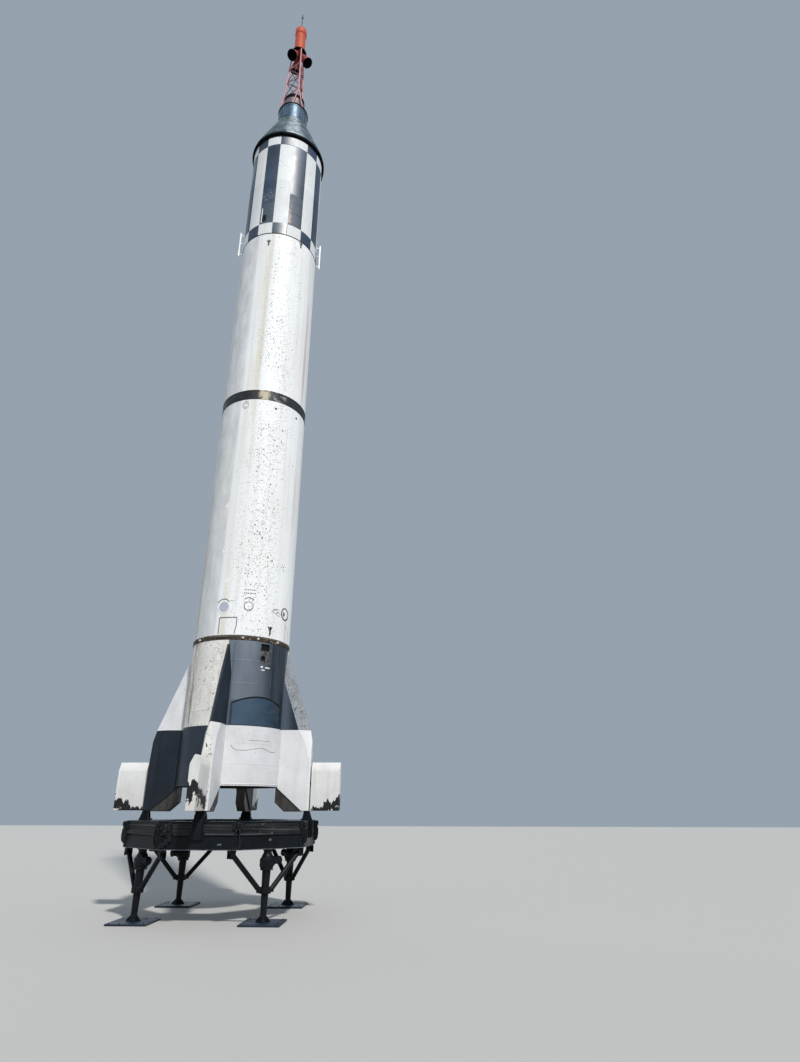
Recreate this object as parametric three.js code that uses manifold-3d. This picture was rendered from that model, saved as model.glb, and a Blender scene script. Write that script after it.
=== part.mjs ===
// A single-stage liquid-fuelled space rocket with a crew capsule and an escape tower, standing on its
// octagonal launch table. Millimetres, +Z up, origin on the ground under the rocket's axis.
// The four fins stand on +X, +Y, -X and -Y, and the table's four legs stand between them.
import * as THREE from 'three';
import { mergeVertices } from 'three/addons/utils/BufferGeometryUtils.js';
import Module from 'manifold-3d';

// Driving dimensions
const SEAT = 0.3; // gap left between pieces that rest on each other
const BODY_R = 889; // rocket body, 70 inches across
const ROUND = 64; // sides of a full-size round body
const FLAT = Math.cos(Math.PI / ROUND); // middle of a side to the axis, for a radius of 1
const QUARTERS = [0, 90, 180, 270]; // azimuths of the fins, rudders, vanes and fin supports
const LEG_AZIMUTHS = [45, 135, 225, 315];
const ANTENNAS = [14.0625, 194.0625]; // in the middle of one of the body's sides

const TABLE_BOTTOM = 1020;
const TABLE_TOP = 1420;
const TABLE_CORNER_R = 1595; // octagon, corner to axis
const TABLE_FLAT_R = TABLE_CORNER_R * Math.cos(Math.PI / 8); // octagon, face to axis
const TABLE_HOLE_R = 1120;
const TABLE_CORNERS = [22.5, 67.5, 112.5, 157.5, 202.5, 247.5, 292.5, 337.5];
const LUG = [[1540, 1062], [1612, 1062], [1662, 1120], [1682, 1190], [1674, 1290], [1650, 1326], [1540, 1326]];

const LEG_R_AT = 1400; // leg axis to rocket axis
const FOOT = { along: 620, across: 620, thick: 28 };
const BRACE_FOOT_Z = 450;
const BRACE_REACH = 620; // half the spread of a leg's two braces at the table
const BRACE_HEAD_IN = 30; // how far the braces lean in towards the axis at the table
const BRACE_R = 34;

const SKIRT_BOTTOM = 1950;
const TAIL_RING_Z = 4380;
const LOWER_BODY_Z = 4470;
const MID_RING_Z = 9470;
const UPPER_BODY_Z = 9700;
const AFT_BAND_Z = 14100;
const STRIPES_Z = 14460;
const ADAPTER_Z = 17150;
const CAPSULE_RING_Z = 17465;
const CONE_Z = 17580;
const RECOVERY_Z = 18945;
const CANISTER_Z = 19435;
const CANISTER_TOP = 20040;
const MOTOR_Z = 22240;
const MOTOR_TOP = 23350;
const SPIKE_TOP = 24095;

const SKIRT_WALL = 30;
const RING_PROUD = 6;
const CAPSULE_R = 945;
const RECOVERY_R = 400;
const MOTOR_R = 150;

const FIN_THICK = 200;
const FIN_TIP_R = 1447;
const FIN_TOP_Z = 4345;
const FIN_BOTTOM_Z = 1570;
const FIN_HEEL = [1320, FIN_BOTTOM_Z]; // the slanted trailing edge runs from here, as [radius, height],
const FIN_ROOT = [BODY_R, 1930]; // up to here on the body
const FIN_INSIDE_R = 600; // the loft starts inside the body, which then cuts it off

const RUDDER = { inner: 1470, outer: 1975, bottom: 1570, top: 2360, shaftZ: 2010, shaftR: 28 };
const VANE = { inner: 120, outer: 350, halfChord: 110, thick: 30, shaftZ: 2080, shaftR: 18 };
const ENGINE = { exitZ: 2250, throatZ: 2900, blockR: 330, exitR: 370 };

const TOWER_TOP_Z = 22185; // middle of the ring that the tower's legs join under the motor
const NOZZLE_Z = 22160;
const TOWER_APEX_Z = 20250; // where each tower leg splits into its two feet
const TOWER_LEGS = [-60, 60, 180];
const TOWER_NOZZLES = [-120, 0, 120];

// Colours, roughness and metalness as the eye reads them
const paint = (color, roughness = 0.5, metalness = 0.0) =>
  new THREE.MeshStandardMaterial({ color, roughness, metalness });
const bodyWhite = paint(0xd5d6d6, 0.55);
const bodyBlack = paint(0x22262c, 0.4);
const tableBlack = paint(0x1b1f24, 0.45);
const finWhite = paint(0xdcdbd8, 0.6);
const bareSteel = paint(0x8b8d8c, 0.5, 0.7);
const capsuleMetal = paint(0x3c4745, 0.5, 0.5);
const recoveryMetal = paint(0x5d7383, 0.4, 0.6);
const canisterMetal = paint(0x7f776c, 0.55, 0.4);
const towerRed = paint(0xb56a6c, 0.6);
const motorRed = paint(0xc95f4c, 0.5);
const engineMetal = paint(0x4b4a48, 0.6, 0.6);

// Closed solids that are joined and cut
const wasm = await Module();
wasm.setup();

function solidOf(geometry) {
  const bare = geometry.clone();
  bare.deleteAttribute('normal');
  bare.deleteAttribute('uv');
  const merged = mergeVertices(bare, 1e-3);
  return new wasm.Manifold(
    new wasm.Mesh({
      numProp: 3,
      vertProperties: new Float32Array(merged.attributes.position.array),
      triVerts: new Uint32Array(merged.index.array),
    }),
  );
}

function geometryOf(solid) {
  const mesh = solid.getMesh();
  const geometry = new THREE.BufferGeometry();
  geometry.setAttribute('position', new THREE.BufferAttribute(mesh.vertProperties, 3));
  geometry.setIndex(new THREE.BufferAttribute(mesh.triVerts, 1));
  geometry.computeVertexNormals();
  return geometry;
}

function joined(...geometries) {
  return geometryOf(geometries.map(solidOf).reduce((a, b) => a.add(b)));
}

function cut(geometry, ...tools) {
  return geometryOf(tools.map(solidOf).reduce((a, b) => a.subtract(b), solidOf(geometry)));
}

// A body turned about the vertical axis from rows of [radius, height], going up the outside.
// Azimuths are measured from +X, and first is the azimuth of the first corner.
function turned(profile, sides = ROUND, first = -90) {
  const points = profile.map(([r, z]) => new THREE.Vector2(r, z));
  const start = THREE.MathUtils.degToRad(first + 90);
  return new THREE.LatheGeometry(points, sides, start).rotateX(Math.PI / 2);
}

function drum(radius, bottom, top, sides = ROUND) {
  return turned([[0, bottom], [radius, bottom], [radius, top], [0, top]], sides);
}

function hoop(outer, inner, bottom, top, sides = ROUND) {
  return turned([[inner, bottom], [outer, bottom], [outer, top], [inner, top], [inner, bottom]], sides);
}

// A flat plate whose outline is rows of [radius, height], centred on the XZ plane
function plate(outline, thick) {
  const shape = new THREE.Shape(outline.map(([r, z]) => new THREE.Vector2(r, z)));
  const options = { depth: thick, bevelEnabled: false };
  return new THREE.ExtrudeGeometry(shape, options).rotateX(Math.PI / 2).translate(0, thick / 2, 0);
}

// A bar along +X from one radius to another, whose section is rows of [across, height]
function radialBar(section, from, to) {
  const shape = new THREE.Shape(section.map(([y, z]) => new THREE.Vector2(y, z)));
  const options = { depth: to - from, bevelEnabled: false };
  const turn = new THREE.Matrix4().makeBasis(
    new THREE.Vector3(0, 1, 0),
    new THREE.Vector3(0, 0, 1),
    new THREE.Vector3(1, 0, 0),
  );
  return new THREE.ExtrudeGeometry(shape, options).applyMatrix4(turn).translate(from, 0, 0);
}

// A round strut between two points
function strut(from, to, radius, sides = 8) {
  const along = new THREE.Vector3().subVectors(to, from);
  const turn = new THREE.Quaternion().setFromUnitVectors(new THREE.Vector3(0, 1, 0), along.clone().normalize());
  const middle = new THREE.Vector3().addVectors(from, to).multiplyScalar(0.5);
  return new THREE.CylinderGeometry(radius, radius, along.length(), sides)
    .applyQuaternion(turn)
    .translate(middle.x, middle.y, middle.z);
}

// A point from its radius, azimuth in degrees and height
function polar(radius, azimuth, height) {
  const a = THREE.MathUtils.degToRad(azimuth);
  return new THREE.Vector3(radius * Math.cos(a), radius * Math.sin(a), height);
}

// A solid through level sections, each a convex ring of [x, y] rows that runs anticlockwise
function loft(levels) {
  const count = levels[0].ring.length;
  const positions = levels.flatMap(({ z, ring }) => ring.flatMap(([x, y]) => [x, y, z]));
  const top = (levels.length - 1) * count;
  const index = [];
  for (let level = 0; level < top; level += count) {
    for (let i = 0; i < count; i++) {
      const a = level + i;
      const b = level + ((i + 1) % count);
      index.push(a, b, b + count, a, b + count, a + count);
    }
  }
  for (let i = 1; i + 1 < count; i++) {
    index.push(0, i + 1, i, top, top + i, top + i + 1);
  }
  const geometry = new THREE.BufferGeometry();
  geometry.setAttribute('position', new THREE.Float32BufferAttribute(positions, 3));
  geometry.setIndex(index);
  geometry.computeVertexNormals();
  return geometry;
}

const rocket = new THREE.Group();

function add(name, geometry, material, azimuth = 0) {
  const mesh = new THREE.Mesh(geometry, material);
  mesh.name = name;
  mesh.rotation.z = THREE.MathUtils.degToRad(azimuth);
  rocket.add(mesh);
}

// Launch table: an octagonal box ring with a groove and a recessed rail round its outside, and a clamp
// lug with a capped pin over each corner
function tableRing() {
  const groove = { bottom: 1205, top: 1222, deep: 25 };
  const rail = { bottom: 1242, top: 1392, deep: 9 };
  const outer = TABLE_CORNER_R;
  const box = turned(
    [
      [TABLE_HOLE_R, TABLE_BOTTOM],
      [outer, TABLE_BOTTOM],
      [outer, groove.bottom],
      [outer - groove.deep, groove.bottom],
      [outer - groove.deep, groove.top],
      [outer, groove.top],
      [outer, rail.bottom - 4],
      [outer - rail.deep, rail.bottom],
      [outer - rail.deep, rail.top],
      [outer, rail.top + 4],
      [outer, TABLE_TOP],
      [TABLE_HOLE_R, TABLE_TOP],
      [TABLE_HOLE_R, TABLE_BOTTOM],
    ],
    8,
    22.5,
  );
  const lugs = TABLE_CORNERS.flatMap((azimuth) => {
    const lug = plate(LUG, 90);
    const pin = turned([[0, 1310], [24, 1310], [24, 1338], [36, 1342], [36, 1402], [28, 1410], [0, 1410]], 12)
      .translate(outer + 22, 0, 0);
    return [lug, pin].map((piece) => piece.rotateZ(THREE.MathUtils.degToRad(azimuth)));
  });
  return joined(box, ...lugs);
}

// Table leg: a square foot plate with gussets, a tapered tube, an eight-sided screw-jack housing and
// its sideways drive
function tableLeg() {
  const tube = turned(
    [
      [0, FOOT.thick - 5],
      [95, FOOT.thick - 5],
      [95, 50],
      [52, 70],
      [66, 735],
      [98, 738],
      [98, 770],
      [86, 774],
      [86, 930],
      [62, 960],
      [62, TABLE_BOTTOM - 20],
      [80, TABLE_BOTTOM - 16],
      [80, TABLE_BOTTOM - SEAT],
      [0, TABLE_BOTTOM - SEAT],
    ],
    20,
  );
  const housing = turned([[0, 762], [100, 762], [114, 782], [114, 880], [100, 902], [0, 902]], 8, 22.5);
  const along = (distance) => new THREE.Vector3(0, distance, 855);
  const drive = [strut(along(0), along(200), 54, 14), strut(along(90), along(130), 68, 14)];
  drive.push(strut(along(195), along(250), 62, 14));
  const square = THREE.MathUtils.degToRad(45); // the plate lies square to the fins
  const foot = new THREE.BoxGeometry(FOOT.along, FOOT.across, FOOT.thick)
    .rotateZ(square)
    .translate(0, 0, FOOT.thick / 2);
  const gussets = QUARTERS.map((azimuth) =>
    plate([[40, 20], [160, 20], [160, 42], [66, 150], [40, 150]], 14).rotateZ(
      square + THREE.MathUtils.degToRad(azimuth),
    ),
  );
  return joined(tube, housing, ...drive, foot, ...gussets).translate(LEG_R_AT, 0, 0);
}

// The two braces that spread from a collar on the leg up to pads under the table
function bracePair() {
  const collar = hoop(92, 64, BRACE_FOOT_Z - 45, BRACE_FOOT_Z + 45, 20);
  const parts = [collar];
  for (const side of [-1, 1]) {
    const low = new THREE.Vector3(0, side * 92, BRACE_FOOT_Z);
    const high = new THREE.Vector3(-BRACE_HEAD_IN, side * BRACE_REACH, TABLE_BOTTOM - 45);
    const pad = new THREE.BoxGeometry(80, 110, 40).translate(high.x, high.y, TABLE_BOTTOM - SEAT - 20);
    parts.push(strut(low, high, BRACE_R), pad);
  }
  return joined(...parts).translate(LEG_R_AT, 0, 0);
}

// The bracket that hangs over the table's edge and carries a fin's tip: two cheeks with a web between
// them, bolted on by a flange above and one outside, with a saddle on top
function finSupport() {
  const face = TABLE_FLAT_R + 2;
  const foot = TABLE_TOP + SEAT;
  const seat = FIN_BOTTOM_Z - SEAT;
  const outline = (inset) => [
    [1330 + inset, foot + inset],
    [face + inset, foot + inset],
    [face + inset, 1150 + inset],
    [1512 - inset * 0.5, 1150 + inset],
    [1540 - inset, 1190 + inset],
    [1540 - inset, 1400 - inset],
    [1500 - inset, 1495 - inset],
    [FIN_TIP_R - inset, seat - inset * 0.5],
    [1370 + inset, seat - inset * 0.5],
    [1330 + inset, 1500 - inset],
  ];
  const cheeks = [-67, 67].map((y) => plate(outline(0), 16).translate(0, y, 0));
  const web = plate(outline(10), 130);
  const flange = (from, to, half, low, high) =>
    new THREE.BoxGeometry(to - from, 2 * half, high - low).translate((from + to) / 2, 0, (low + high) / 2);
  return joined(
    ...cheeks,
    web,
    flange(1325, 1460, 110, foot, foot + 18),
    flange(face, face + 17, 110, 1165, 1265),
    flange(1360, 1452, 85, seat - 15, seat),
  );
}

// Fin: a thick slab with a bevelled leading edge, cut off by its slanted trailing edge and by the body
function fin() {
  const half = FIN_THICK / 2;
  const level = (z, edge, bevel, nose) => ({
    z,
    ring: [
      [FIN_INSIDE_R, -half],
      [edge - bevel, -half],
      [edge, -nose],
      [edge, nose],
      [edge - bevel, half],
      [FIN_INSIDE_R, half],
    ],
  });
  const slab = loft([
    level(FIN_BOTTOM_Z, FIN_TIP_R, 20, 85),
    level(2360, FIN_TIP_R, 20, 85),
    level(2714, FIN_TIP_R, 120, 45),
    level(2908, 1410, 210, 15),
    level(FIN_TOP_Z, BODY_R, 210, 15),
  ]);
  const belowTrailingEdge = plate(
    [
      [500, 1400],
      [1320, 1400],
      FIN_HEEL,
      FIN_ROOT,
      [500, 2255],
    ],
    FIN_THICK + 50,
  );
  const body = drum(BODY_R + SEAT, SKIRT_BOTTOM - 500, FIN_TOP_Z + 200);
  return cut(slab, belowTrailingEdge, body);
}

// The bare metal foot under each fin's trailing edge and the lip of the tail
function finFoot() {
  const below = ([r, z]) => [r - SEAT, z - SEAT];
  const slant = (FIN_HEEL[0] - FIN_ROOT[0]) / (FIN_ROOT[1] - FIN_HEEL[1]);
  const lip = [FIN_ROOT[0] - (SKIRT_BOTTOM - FIN_ROOT[1]) * slant, SKIRT_BOTTOM];
  return plate(
    [
      [850, 1700],
      [1018, 1555],
      [1300, 1555],
      below(FIN_HEEL),
      below(lip),
      [850, SKIRT_BOTTOM - SEAT],
    ],
    160,
  );
}

// Air rudder: a blunt wedge on a shaft that stands out of the fin's tip
function rudder() {
  const { inner, outer, bottom, top, shaftZ, shaftR } = RUDDER;
  const blade = radialBar([[-70, bottom], [70, bottom], [80, 2200], [20, top], [-20, top], [-80, 2200]], inner, outer);
  const shaft = strut(new THREE.Vector3(FIN_TIP_R + SEAT, 0, shaftZ), new THREE.Vector3(inner + 40, 0, shaftZ), shaftR, 16);
  return joined(blade, shaft);
}

// Jet vane: a small blade in the exhaust, on a shaft that comes out of the tail wall
function jetVane() {
  const { inner, outer, halfChord, thick, shaftZ, shaftR } = VANE;
  const half = thick / 2;
  const blade = radialBar(
    [[-half, shaftZ - halfChord], [half, shaftZ - halfChord], [half, shaftZ + 70], [0, shaftZ + halfChord], [-half, shaftZ + 70]],
    inner,
    outer,
  );
  const wall = BODY_R - SKIRT_WALL - 1.2;
  const shaft = strut(new THREE.Vector3(outer - 30, 0, shaftZ), new THREE.Vector3(wall, 0, shaftZ), shaftR, 16);
  return joined(blade, shaft);
}

function engineNozzle() {
  const wall = 20;
  const outside = [
    [ENGINE.exitR, ENGINE.exitZ],
    [335, 2420],
    [265, 2650],
    [190, ENGINE.throatZ - SEAT],
  ];
  const inside = outside.map(([r, z]) => [r - wall, z]).reverse();
  return turned([...outside, ...inside, outside[0]], 32);
}

// Crew capsule: the ribbed cone over the heat shield, on its clamp ring
function capsuleCone() {
  return turned([
    [0, CONE_Z + SEAT],
    [CAPSULE_R - 20, CONE_Z + SEAT],
    [CAPSULE_R - 25, CONE_Z + 40],
    [RECOVERY_R + 12, RECOVERY_Z - 20],
    [RECOVERY_R, RECOVERY_Z],
    [0, RECOVERY_Z],
  ]);
}

// Escape tower: three tubular legs that taper to the motor, each split into two feet on a base ring
function escapeTower() {
  const legR = 20;
  const footSpread = 20; // degrees either side of the leg
  const radiusAt = (z) => THREE.MathUtils.mapLinear(z, CANISTER_Z, TOWER_TOP_Z, 372, 190);
  const parts = [
    hoop(410, 368, CANISTER_Z + SEAT, CANISTER_Z + 42, 48),
    hoop(215, MOTOR_R - 10 + SEAT, TOWER_TOP_Z - 20, TOWER_TOP_Z + 20, 24),
  ];
  const bays = [TOWER_APEX_Z, 20900, 21500];
  TOWER_LEGS.forEach((azimuth, leg) => {
    const next = TOWER_LEGS[(leg + 1) % TOWER_LEGS.length];
    const on = (a, z) => polar(radiusAt(z), a, z);
    parts.push(strut(on(azimuth, TOWER_APEX_Z - 20), on(azimuth, TOWER_TOP_Z), legR));
    for (const side of [-footSpread, footSpread]) {
      parts.push(strut(polar(389, azimuth + side, CANISTER_Z + 20), on(azimuth, TOWER_APEX_Z), 15));
    }
    for (const z of bays) {
      parts.push(strut(on(azimuth, z), on(next, z), 13, 6));
    }
    for (let bay = 0; bay + 1 < bays.length; bay++) {
      parts.push(strut(on(azimuth, bays[bay]), on(next, bays[bay + 1]), 10, 5));
      parts.push(strut(on(next, bays[bay]), on(azimuth, bays[bay + 1]), 10, 5));
    }
  });
  return joined(...parts);
}

function escapeMotor() {
  return turned(
    [
      [0, MOTOR_Z],
      [MOTOR_R + 6, MOTOR_Z],
      [MOTOR_R + 6, MOTOR_Z + 30],
      [MOTOR_R, MOTOR_Z + 34],
      [MOTOR_R, MOTOR_TOP - 330],
      [MOTOR_R + 15, MOTOR_TOP - 320],
      [MOTOR_R + 15, MOTOR_TOP - 120],
      [MOTOR_R - 10, MOTOR_TOP - 60],
      [MOTOR_R - 60, MOTOR_TOP - 12],
      [40, MOTOR_TOP],
      [0, MOTOR_TOP],
    ],
    32,
  );
}

// The three canted exhaust cones under the escape motor, on their common hub
function escapeNozzles() {
  const wall = 14;
  const length = 445;
  const throatR = 50;
  const exitR = 150;
  const cone = new THREE.LatheGeometry(
    [
      [0, 0],
      [throatR, 0],
      [exitR, length],
      [exitR - wall, length],
      [throatR - wall, 40],
      [0, 40],
    ].map(([r, y]) => new THREE.Vector2(r, y)),
    24,
  );
  const hub = drum(MOTOR_R - 10, NOZZLE_Z - 40, MOTOR_Z - SEAT, 24);
  const cones = TOWER_NOZZLES.map((azimuth) => {
    const start = polar(60, azimuth, NOZZLE_Z);
    const along = new THREE.Vector3().subVectors(polar(275, azimuth, 21770), start).normalize();
    const turn = new THREE.Quaternion().setFromUnitVectors(new THREE.Vector3(0, 1, 0), along);
    return cone.clone().applyQuaternion(turn).translate(start.x, start.y, start.z);
  });
  return joined(hub, ...cones);
}

function spike() {
  return turned(
    [
      [0, MOTOR_TOP + SEAT],
      [34, MOTOR_TOP + SEAT],
      [18, MOTOR_TOP + 60],
      [14, 23880],
      [28, 23905],
      [28, 23955],
      [14, 23980],
      [10, SPIKE_TOP],
      [0, SPIKE_TOP],
    ],
    12,
  );
}

// A bar antenna on three standoffs
function antennaBar() {
  const bottom = 14080;
  const top = 14830;
  const bar = new THREE.BoxGeometry(34, 60, top - bottom).translate(983, 0, (bottom + top) / 2);
  const feet = [
    [bottom + 70, BODY_R + RING_PROUD],
    [STRIPES_Z + 30, BODY_R],
    [top - 70, BODY_R],
  ];
  const standoffs = feet.map(([z, wallR]) =>
    strut(new THREE.Vector3(wallR * FLAT + SEAT, 0, z), new THREE.Vector3(975, 0, z), 16, 10),
  );
  return joined(bar, ...standoffs);
}

// A bolted ring between two body sections, with a shallow groove between its two rims
function jointRing(bottom, top, rim) {
  const outer = BODY_R + RING_PROUD;
  return turned([
    [0, bottom],
    [outer - 4, bottom],
    [outer, bottom + 4],
    [outer, bottom + rim],
    [outer - 5, bottom + rim + 4],
    [outer - 5, top - rim - 4],
    [outer, top - rim],
    [outer, top - 4],
    [outer - 4, top],
    [0, top],
  ]);
}

add('table_ring', tableRing(), tableBlack);
LEG_AZIMUTHS.forEach((azimuth, i) => {
  add(`table_leg_${i + 1}`, tableLeg(), tableBlack, azimuth);
  add(`leg_braces_${i + 1}`, bracePair(), tableBlack, azimuth);
});
QUARTERS.forEach((azimuth, i) => {
  add(`fin_support_${i + 1}`, finSupport(), tableBlack, azimuth);
  add(`fin_foot_${i + 1}`, finFoot(), bareSteel, azimuth);
  add(`fin_${i + 1}`, fin(), finWhite, azimuth);
  add(`rudder_${i + 1}`, rudder(), finWhite, azimuth);
  add(`jet_vane_${i + 1}`, jetVane(), engineMetal, azimuth);
});

add('tail_skirt', hoop(BODY_R, BODY_R - SKIRT_WALL, SKIRT_BOTTOM, TAIL_RING_Z - SEAT), bodyWhite);
add('tail_ring', jointRing(TAIL_RING_Z, LOWER_BODY_Z - SEAT, 30), bodyBlack);
add('engine_block', drum(ENGINE.blockR, ENGINE.throatZ, TAIL_RING_Z - SEAT, 32), engineMetal);
add('engine_nozzle', engineNozzle(), engineMetal);
add('lower_body', drum(BODY_R, LOWER_BODY_Z, MID_RING_Z - SEAT), bodyWhite);
add('mid_ring', jointRing(MID_RING_Z, UPPER_BODY_Z - SEAT, 34), bodyBlack);
add('upper_body', drum(BODY_R, UPPER_BODY_Z, AFT_BAND_Z - SEAT), bodyWhite);
add('aft_band', drum(BODY_R + RING_PROUD, AFT_BAND_Z, STRIPES_Z - SEAT), bodyWhite);
add('instrument_body', drum(BODY_R, STRIPES_Z, ADAPTER_Z - SEAT), bodyWhite);
add('adapter_band', drum(BODY_R + RING_PROUD, ADAPTER_Z, CAPSULE_RING_Z - SEAT), bodyWhite);
const heatShield = [
  [0, CAPSULE_RING_Z],
  [CAPSULE_R - 33, CAPSULE_RING_Z],
  [CAPSULE_R, CAPSULE_RING_Z + 21],
  [CAPSULE_R, CAPSULE_RING_Z + 75],
  [CAPSULE_R - 20, CAPSULE_RING_Z + 95],
  [CAPSULE_R - 20, CONE_Z],
  [0, CONE_Z],
];
add('capsule_ring', turned(heatShield), bodyBlack);
add('capsule_cone', capsuleCone(), capsuleMetal);
add('recovery_cylinder', drum(RECOVERY_R, RECOVERY_Z + SEAT, CANISTER_Z, 48), recoveryMetal);
const canister = [
  [0, CANISTER_Z + SEAT],
  [300, CANISTER_Z + SEAT],
  [300, CANISTER_Z + 30],
  [294, CANISTER_Z + 34],
  [278, CANISTER_TOP - 70],
  [284, CANISTER_TOP - 66],
  [281, CANISTER_TOP - 20],
  [240, CANISTER_TOP],
  [0, CANISTER_TOP],
];
add('antenna_canister', turned(canister, 48), canisterMetal);
add('escape_tower', escapeTower(), towerRed);
add('escape_nozzles', escapeNozzles(), engineMetal);
add('escape_motor', escapeMotor(), motorRed);
add('spike', spike(), bareSteel);
ANTENNAS.forEach((azimuth, i) => add(`antenna_bar_${i + 1}`, antennaBar(), finWhite, azimuth));

export default rocket;
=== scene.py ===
import random
from math import cos, hypot, pi, radians, sin, sqrt

import bmesh
import bpy
from mathutils import Matrix, Vector


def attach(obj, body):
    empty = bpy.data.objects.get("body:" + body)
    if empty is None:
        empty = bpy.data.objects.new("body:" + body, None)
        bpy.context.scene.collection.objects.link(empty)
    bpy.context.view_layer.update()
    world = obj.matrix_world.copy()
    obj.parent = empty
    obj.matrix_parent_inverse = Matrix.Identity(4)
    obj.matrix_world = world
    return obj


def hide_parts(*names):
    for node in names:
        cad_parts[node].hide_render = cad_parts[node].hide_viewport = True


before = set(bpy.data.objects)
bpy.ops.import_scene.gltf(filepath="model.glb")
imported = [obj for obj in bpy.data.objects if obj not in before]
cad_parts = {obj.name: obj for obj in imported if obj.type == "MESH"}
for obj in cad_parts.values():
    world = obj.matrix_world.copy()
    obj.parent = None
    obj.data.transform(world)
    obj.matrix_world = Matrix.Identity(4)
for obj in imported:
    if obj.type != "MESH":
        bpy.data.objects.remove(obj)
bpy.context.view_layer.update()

# Viewpoint: eye height on the forecourt, about 13 m in front of the rocket and a little to the
# right of its front fin, looking up with a wide lens.
viewpoint = bpy.data.objects.new("viewpoint", bpy.data.cameras.new("viewpoint"))
bpy.context.scene.collection.objects.link(viewpoint)
bpy.context.scene.camera = viewpoint
viewpoint.data.lens = 22.305
viewpoint.data.clip_end = 300
viewpoint.location = (3.4257, -12.3528, 1.6)
LOOKING = Vector((-0.03049, 0.92063, 0.38925))
ROLL = radians(0.112)
turn = LOOKING.to_track_quat("-Z", "Y").to_matrix() @ Matrix.Rotation(ROLL, 3, "Z")
viewpoint.rotation_euler = turn.to_euler()

# Light: one soft sun high behind the viewer, a faint second one from the far side, and a pale sky
# all round that the glossy black paint can mirror.
SUNS = {"sun": (-64, 50, 3.25, 4.0, (1.0, 0.985, 0.955)), "fill": (120, 30, 0.4, 60.0, (0.86, 0.93, 1.0))}
for name, (azimuth, elevation, energy, softness, colour) in SUNS.items():
    lamp = bpy.data.lights.new(name, "SUN")
    lamp.energy = energy
    lamp.angle = radians(softness)
    lamp.color = colour
    sun = bpy.data.objects.new(name, lamp)
    bpy.context.scene.collection.objects.link(sun)
    a, e = radians(azimuth), radians(elevation)
    toward = Vector((cos(a) * cos(e), sin(a) * cos(e), sin(e)))
    sun.rotation_euler = toward.to_track_quat("Z", "Y").to_euler()
sky = bpy.data.worlds.new("sky")
bpy.context.scene.world = sky
sky.use_nodes = True
sky.node_tree.nodes["Background"].inputs["Color"].default_value = (0.66, 0.78, 0.92, 1)
sky.node_tree.nodes["Background"].inputs["Strength"].default_value = 0.46
bpy.context.scene.view_settings.view_transform = "Standard"

# Floor: a plain pale concrete forecourt under the table's feet. It reaches well past the rocket's
# shadow, and it belongs to the stage alone.
FLOOR_HALF = 60
floor_mesh = bpy.data.meshes.new("floor")
corners = [(x * FLOOR_HALF, y * FLOOR_HALF, 0) for x, y in ((-1, -1), (1, -1), (1, 1), (-1, 1))]
floor_mesh.from_pydata(corners, [], [(0, 1, 2, 3)])
floor = bpy.data.objects.new("floor", floor_mesh)
bpy.context.scene.collection.objects.link(floor)
floor_paint = bpy.data.materials.new("pale_floor")
floor_paint.use_nodes = True
floor_paint.node_tree.nodes["Principled BSDF"].inputs["Base Color"].default_value = (0.46, 0.45, 0.43, 1)
floor_paint.node_tree.nodes["Principled BSDF"].inputs["Roughness"].default_value = 0.9
floor_mesh.materials.append(floor_paint)

# Launch table: a welded octagonal box ring of steel, brush-painted blue-black. A worn rail runs
# round it above a groove, and bolted clamp plates hold each corner.
ROOT = "rocket_on_table"
TABLE_LOW = 1.02
TABLE_TOP = 1.42
TABLE_CORNER = 1.595
TABLE_FACE = TABLE_CORNER * cos(pi / 8)
TABLE_HOLE = 1.12
CORNERS = [22.5 + 45 * k for k in range(8)]
STANDING = Matrix.Rotation(pi / 2, 4, "X")  # a flat outline's (x, y) becomes (radius, height)
OUTWARD = Matrix.Rotation(pi / 2, 4, "Y")  # a turned shape's axis points away from the rocket


def tint(code):
    """A colour from its six-digit screen code."""
    channels = [int(code[i : i + 2], 16) / 255 for i in (0, 2, 4)]
    return [c / 12.92 if c <= 0.04045 else ((c + 0.055) / 1.055) ** 2.4 for c in channels] + [1.0]


def node(near, kind, links=None, **settings):
    """Adds a node to a tree, given as itself or as one of its sockets. Links fill the node's inputs,
    each with a plain value or another node's output."""
    tree = near.id_data
    made = tree.nodes.new(kind)
    for setting, value in settings.items():
        setattr(made, setting, value)
    for entry, value in (links or {}).items():
        if isinstance(value, bpy.types.NodeSocket):
            tree.links.new(value, made.inputs[entry])
        else:
            made.inputs[entry].default_value = value
    return made


def noise(place, scale, detail=4.0, stretch=(1, 1, 1)):
    if stretch != (1, 1, 1):
        place = node(place, "ShaderNodeMapping", {"Vector": place, "Scale": stretch}).outputs[0]
    links = {"Vector": place, "Scale": scale, "Detail": detail, "Roughness": 0.6}
    return node(place, "ShaderNodeTexNoise", links).outputs[0]


def ramp(value, low, high, start=0.0, end=1.0):
    """Start below low, end above high, and a straight slope between."""
    return node(value, "ShaderNodeMapRange", {0: value, 1: low, 2: high, 3: start, 4: end}).outputs[0]


def sums(operation, first, second, third=0.0):
    return node(first, "ShaderNodeMath", {0: first, 1: second, 2: third}, operation=operation).outputs[0]


def times(first, *others):
    for other in others:
        first = sums("MULTIPLY", first, other)
    return first


def mixed(share, first, second):
    return node(share, "ShaderNodeMix", {0: share, 6: first, 7: second}, data_type="RGBA").outputs[2]


def over(cover, code, *shares):
    """Lays a colour over the cover, in a share that is the product of these."""
    return mixed(times(*shares), cover, tint(code))


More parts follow.
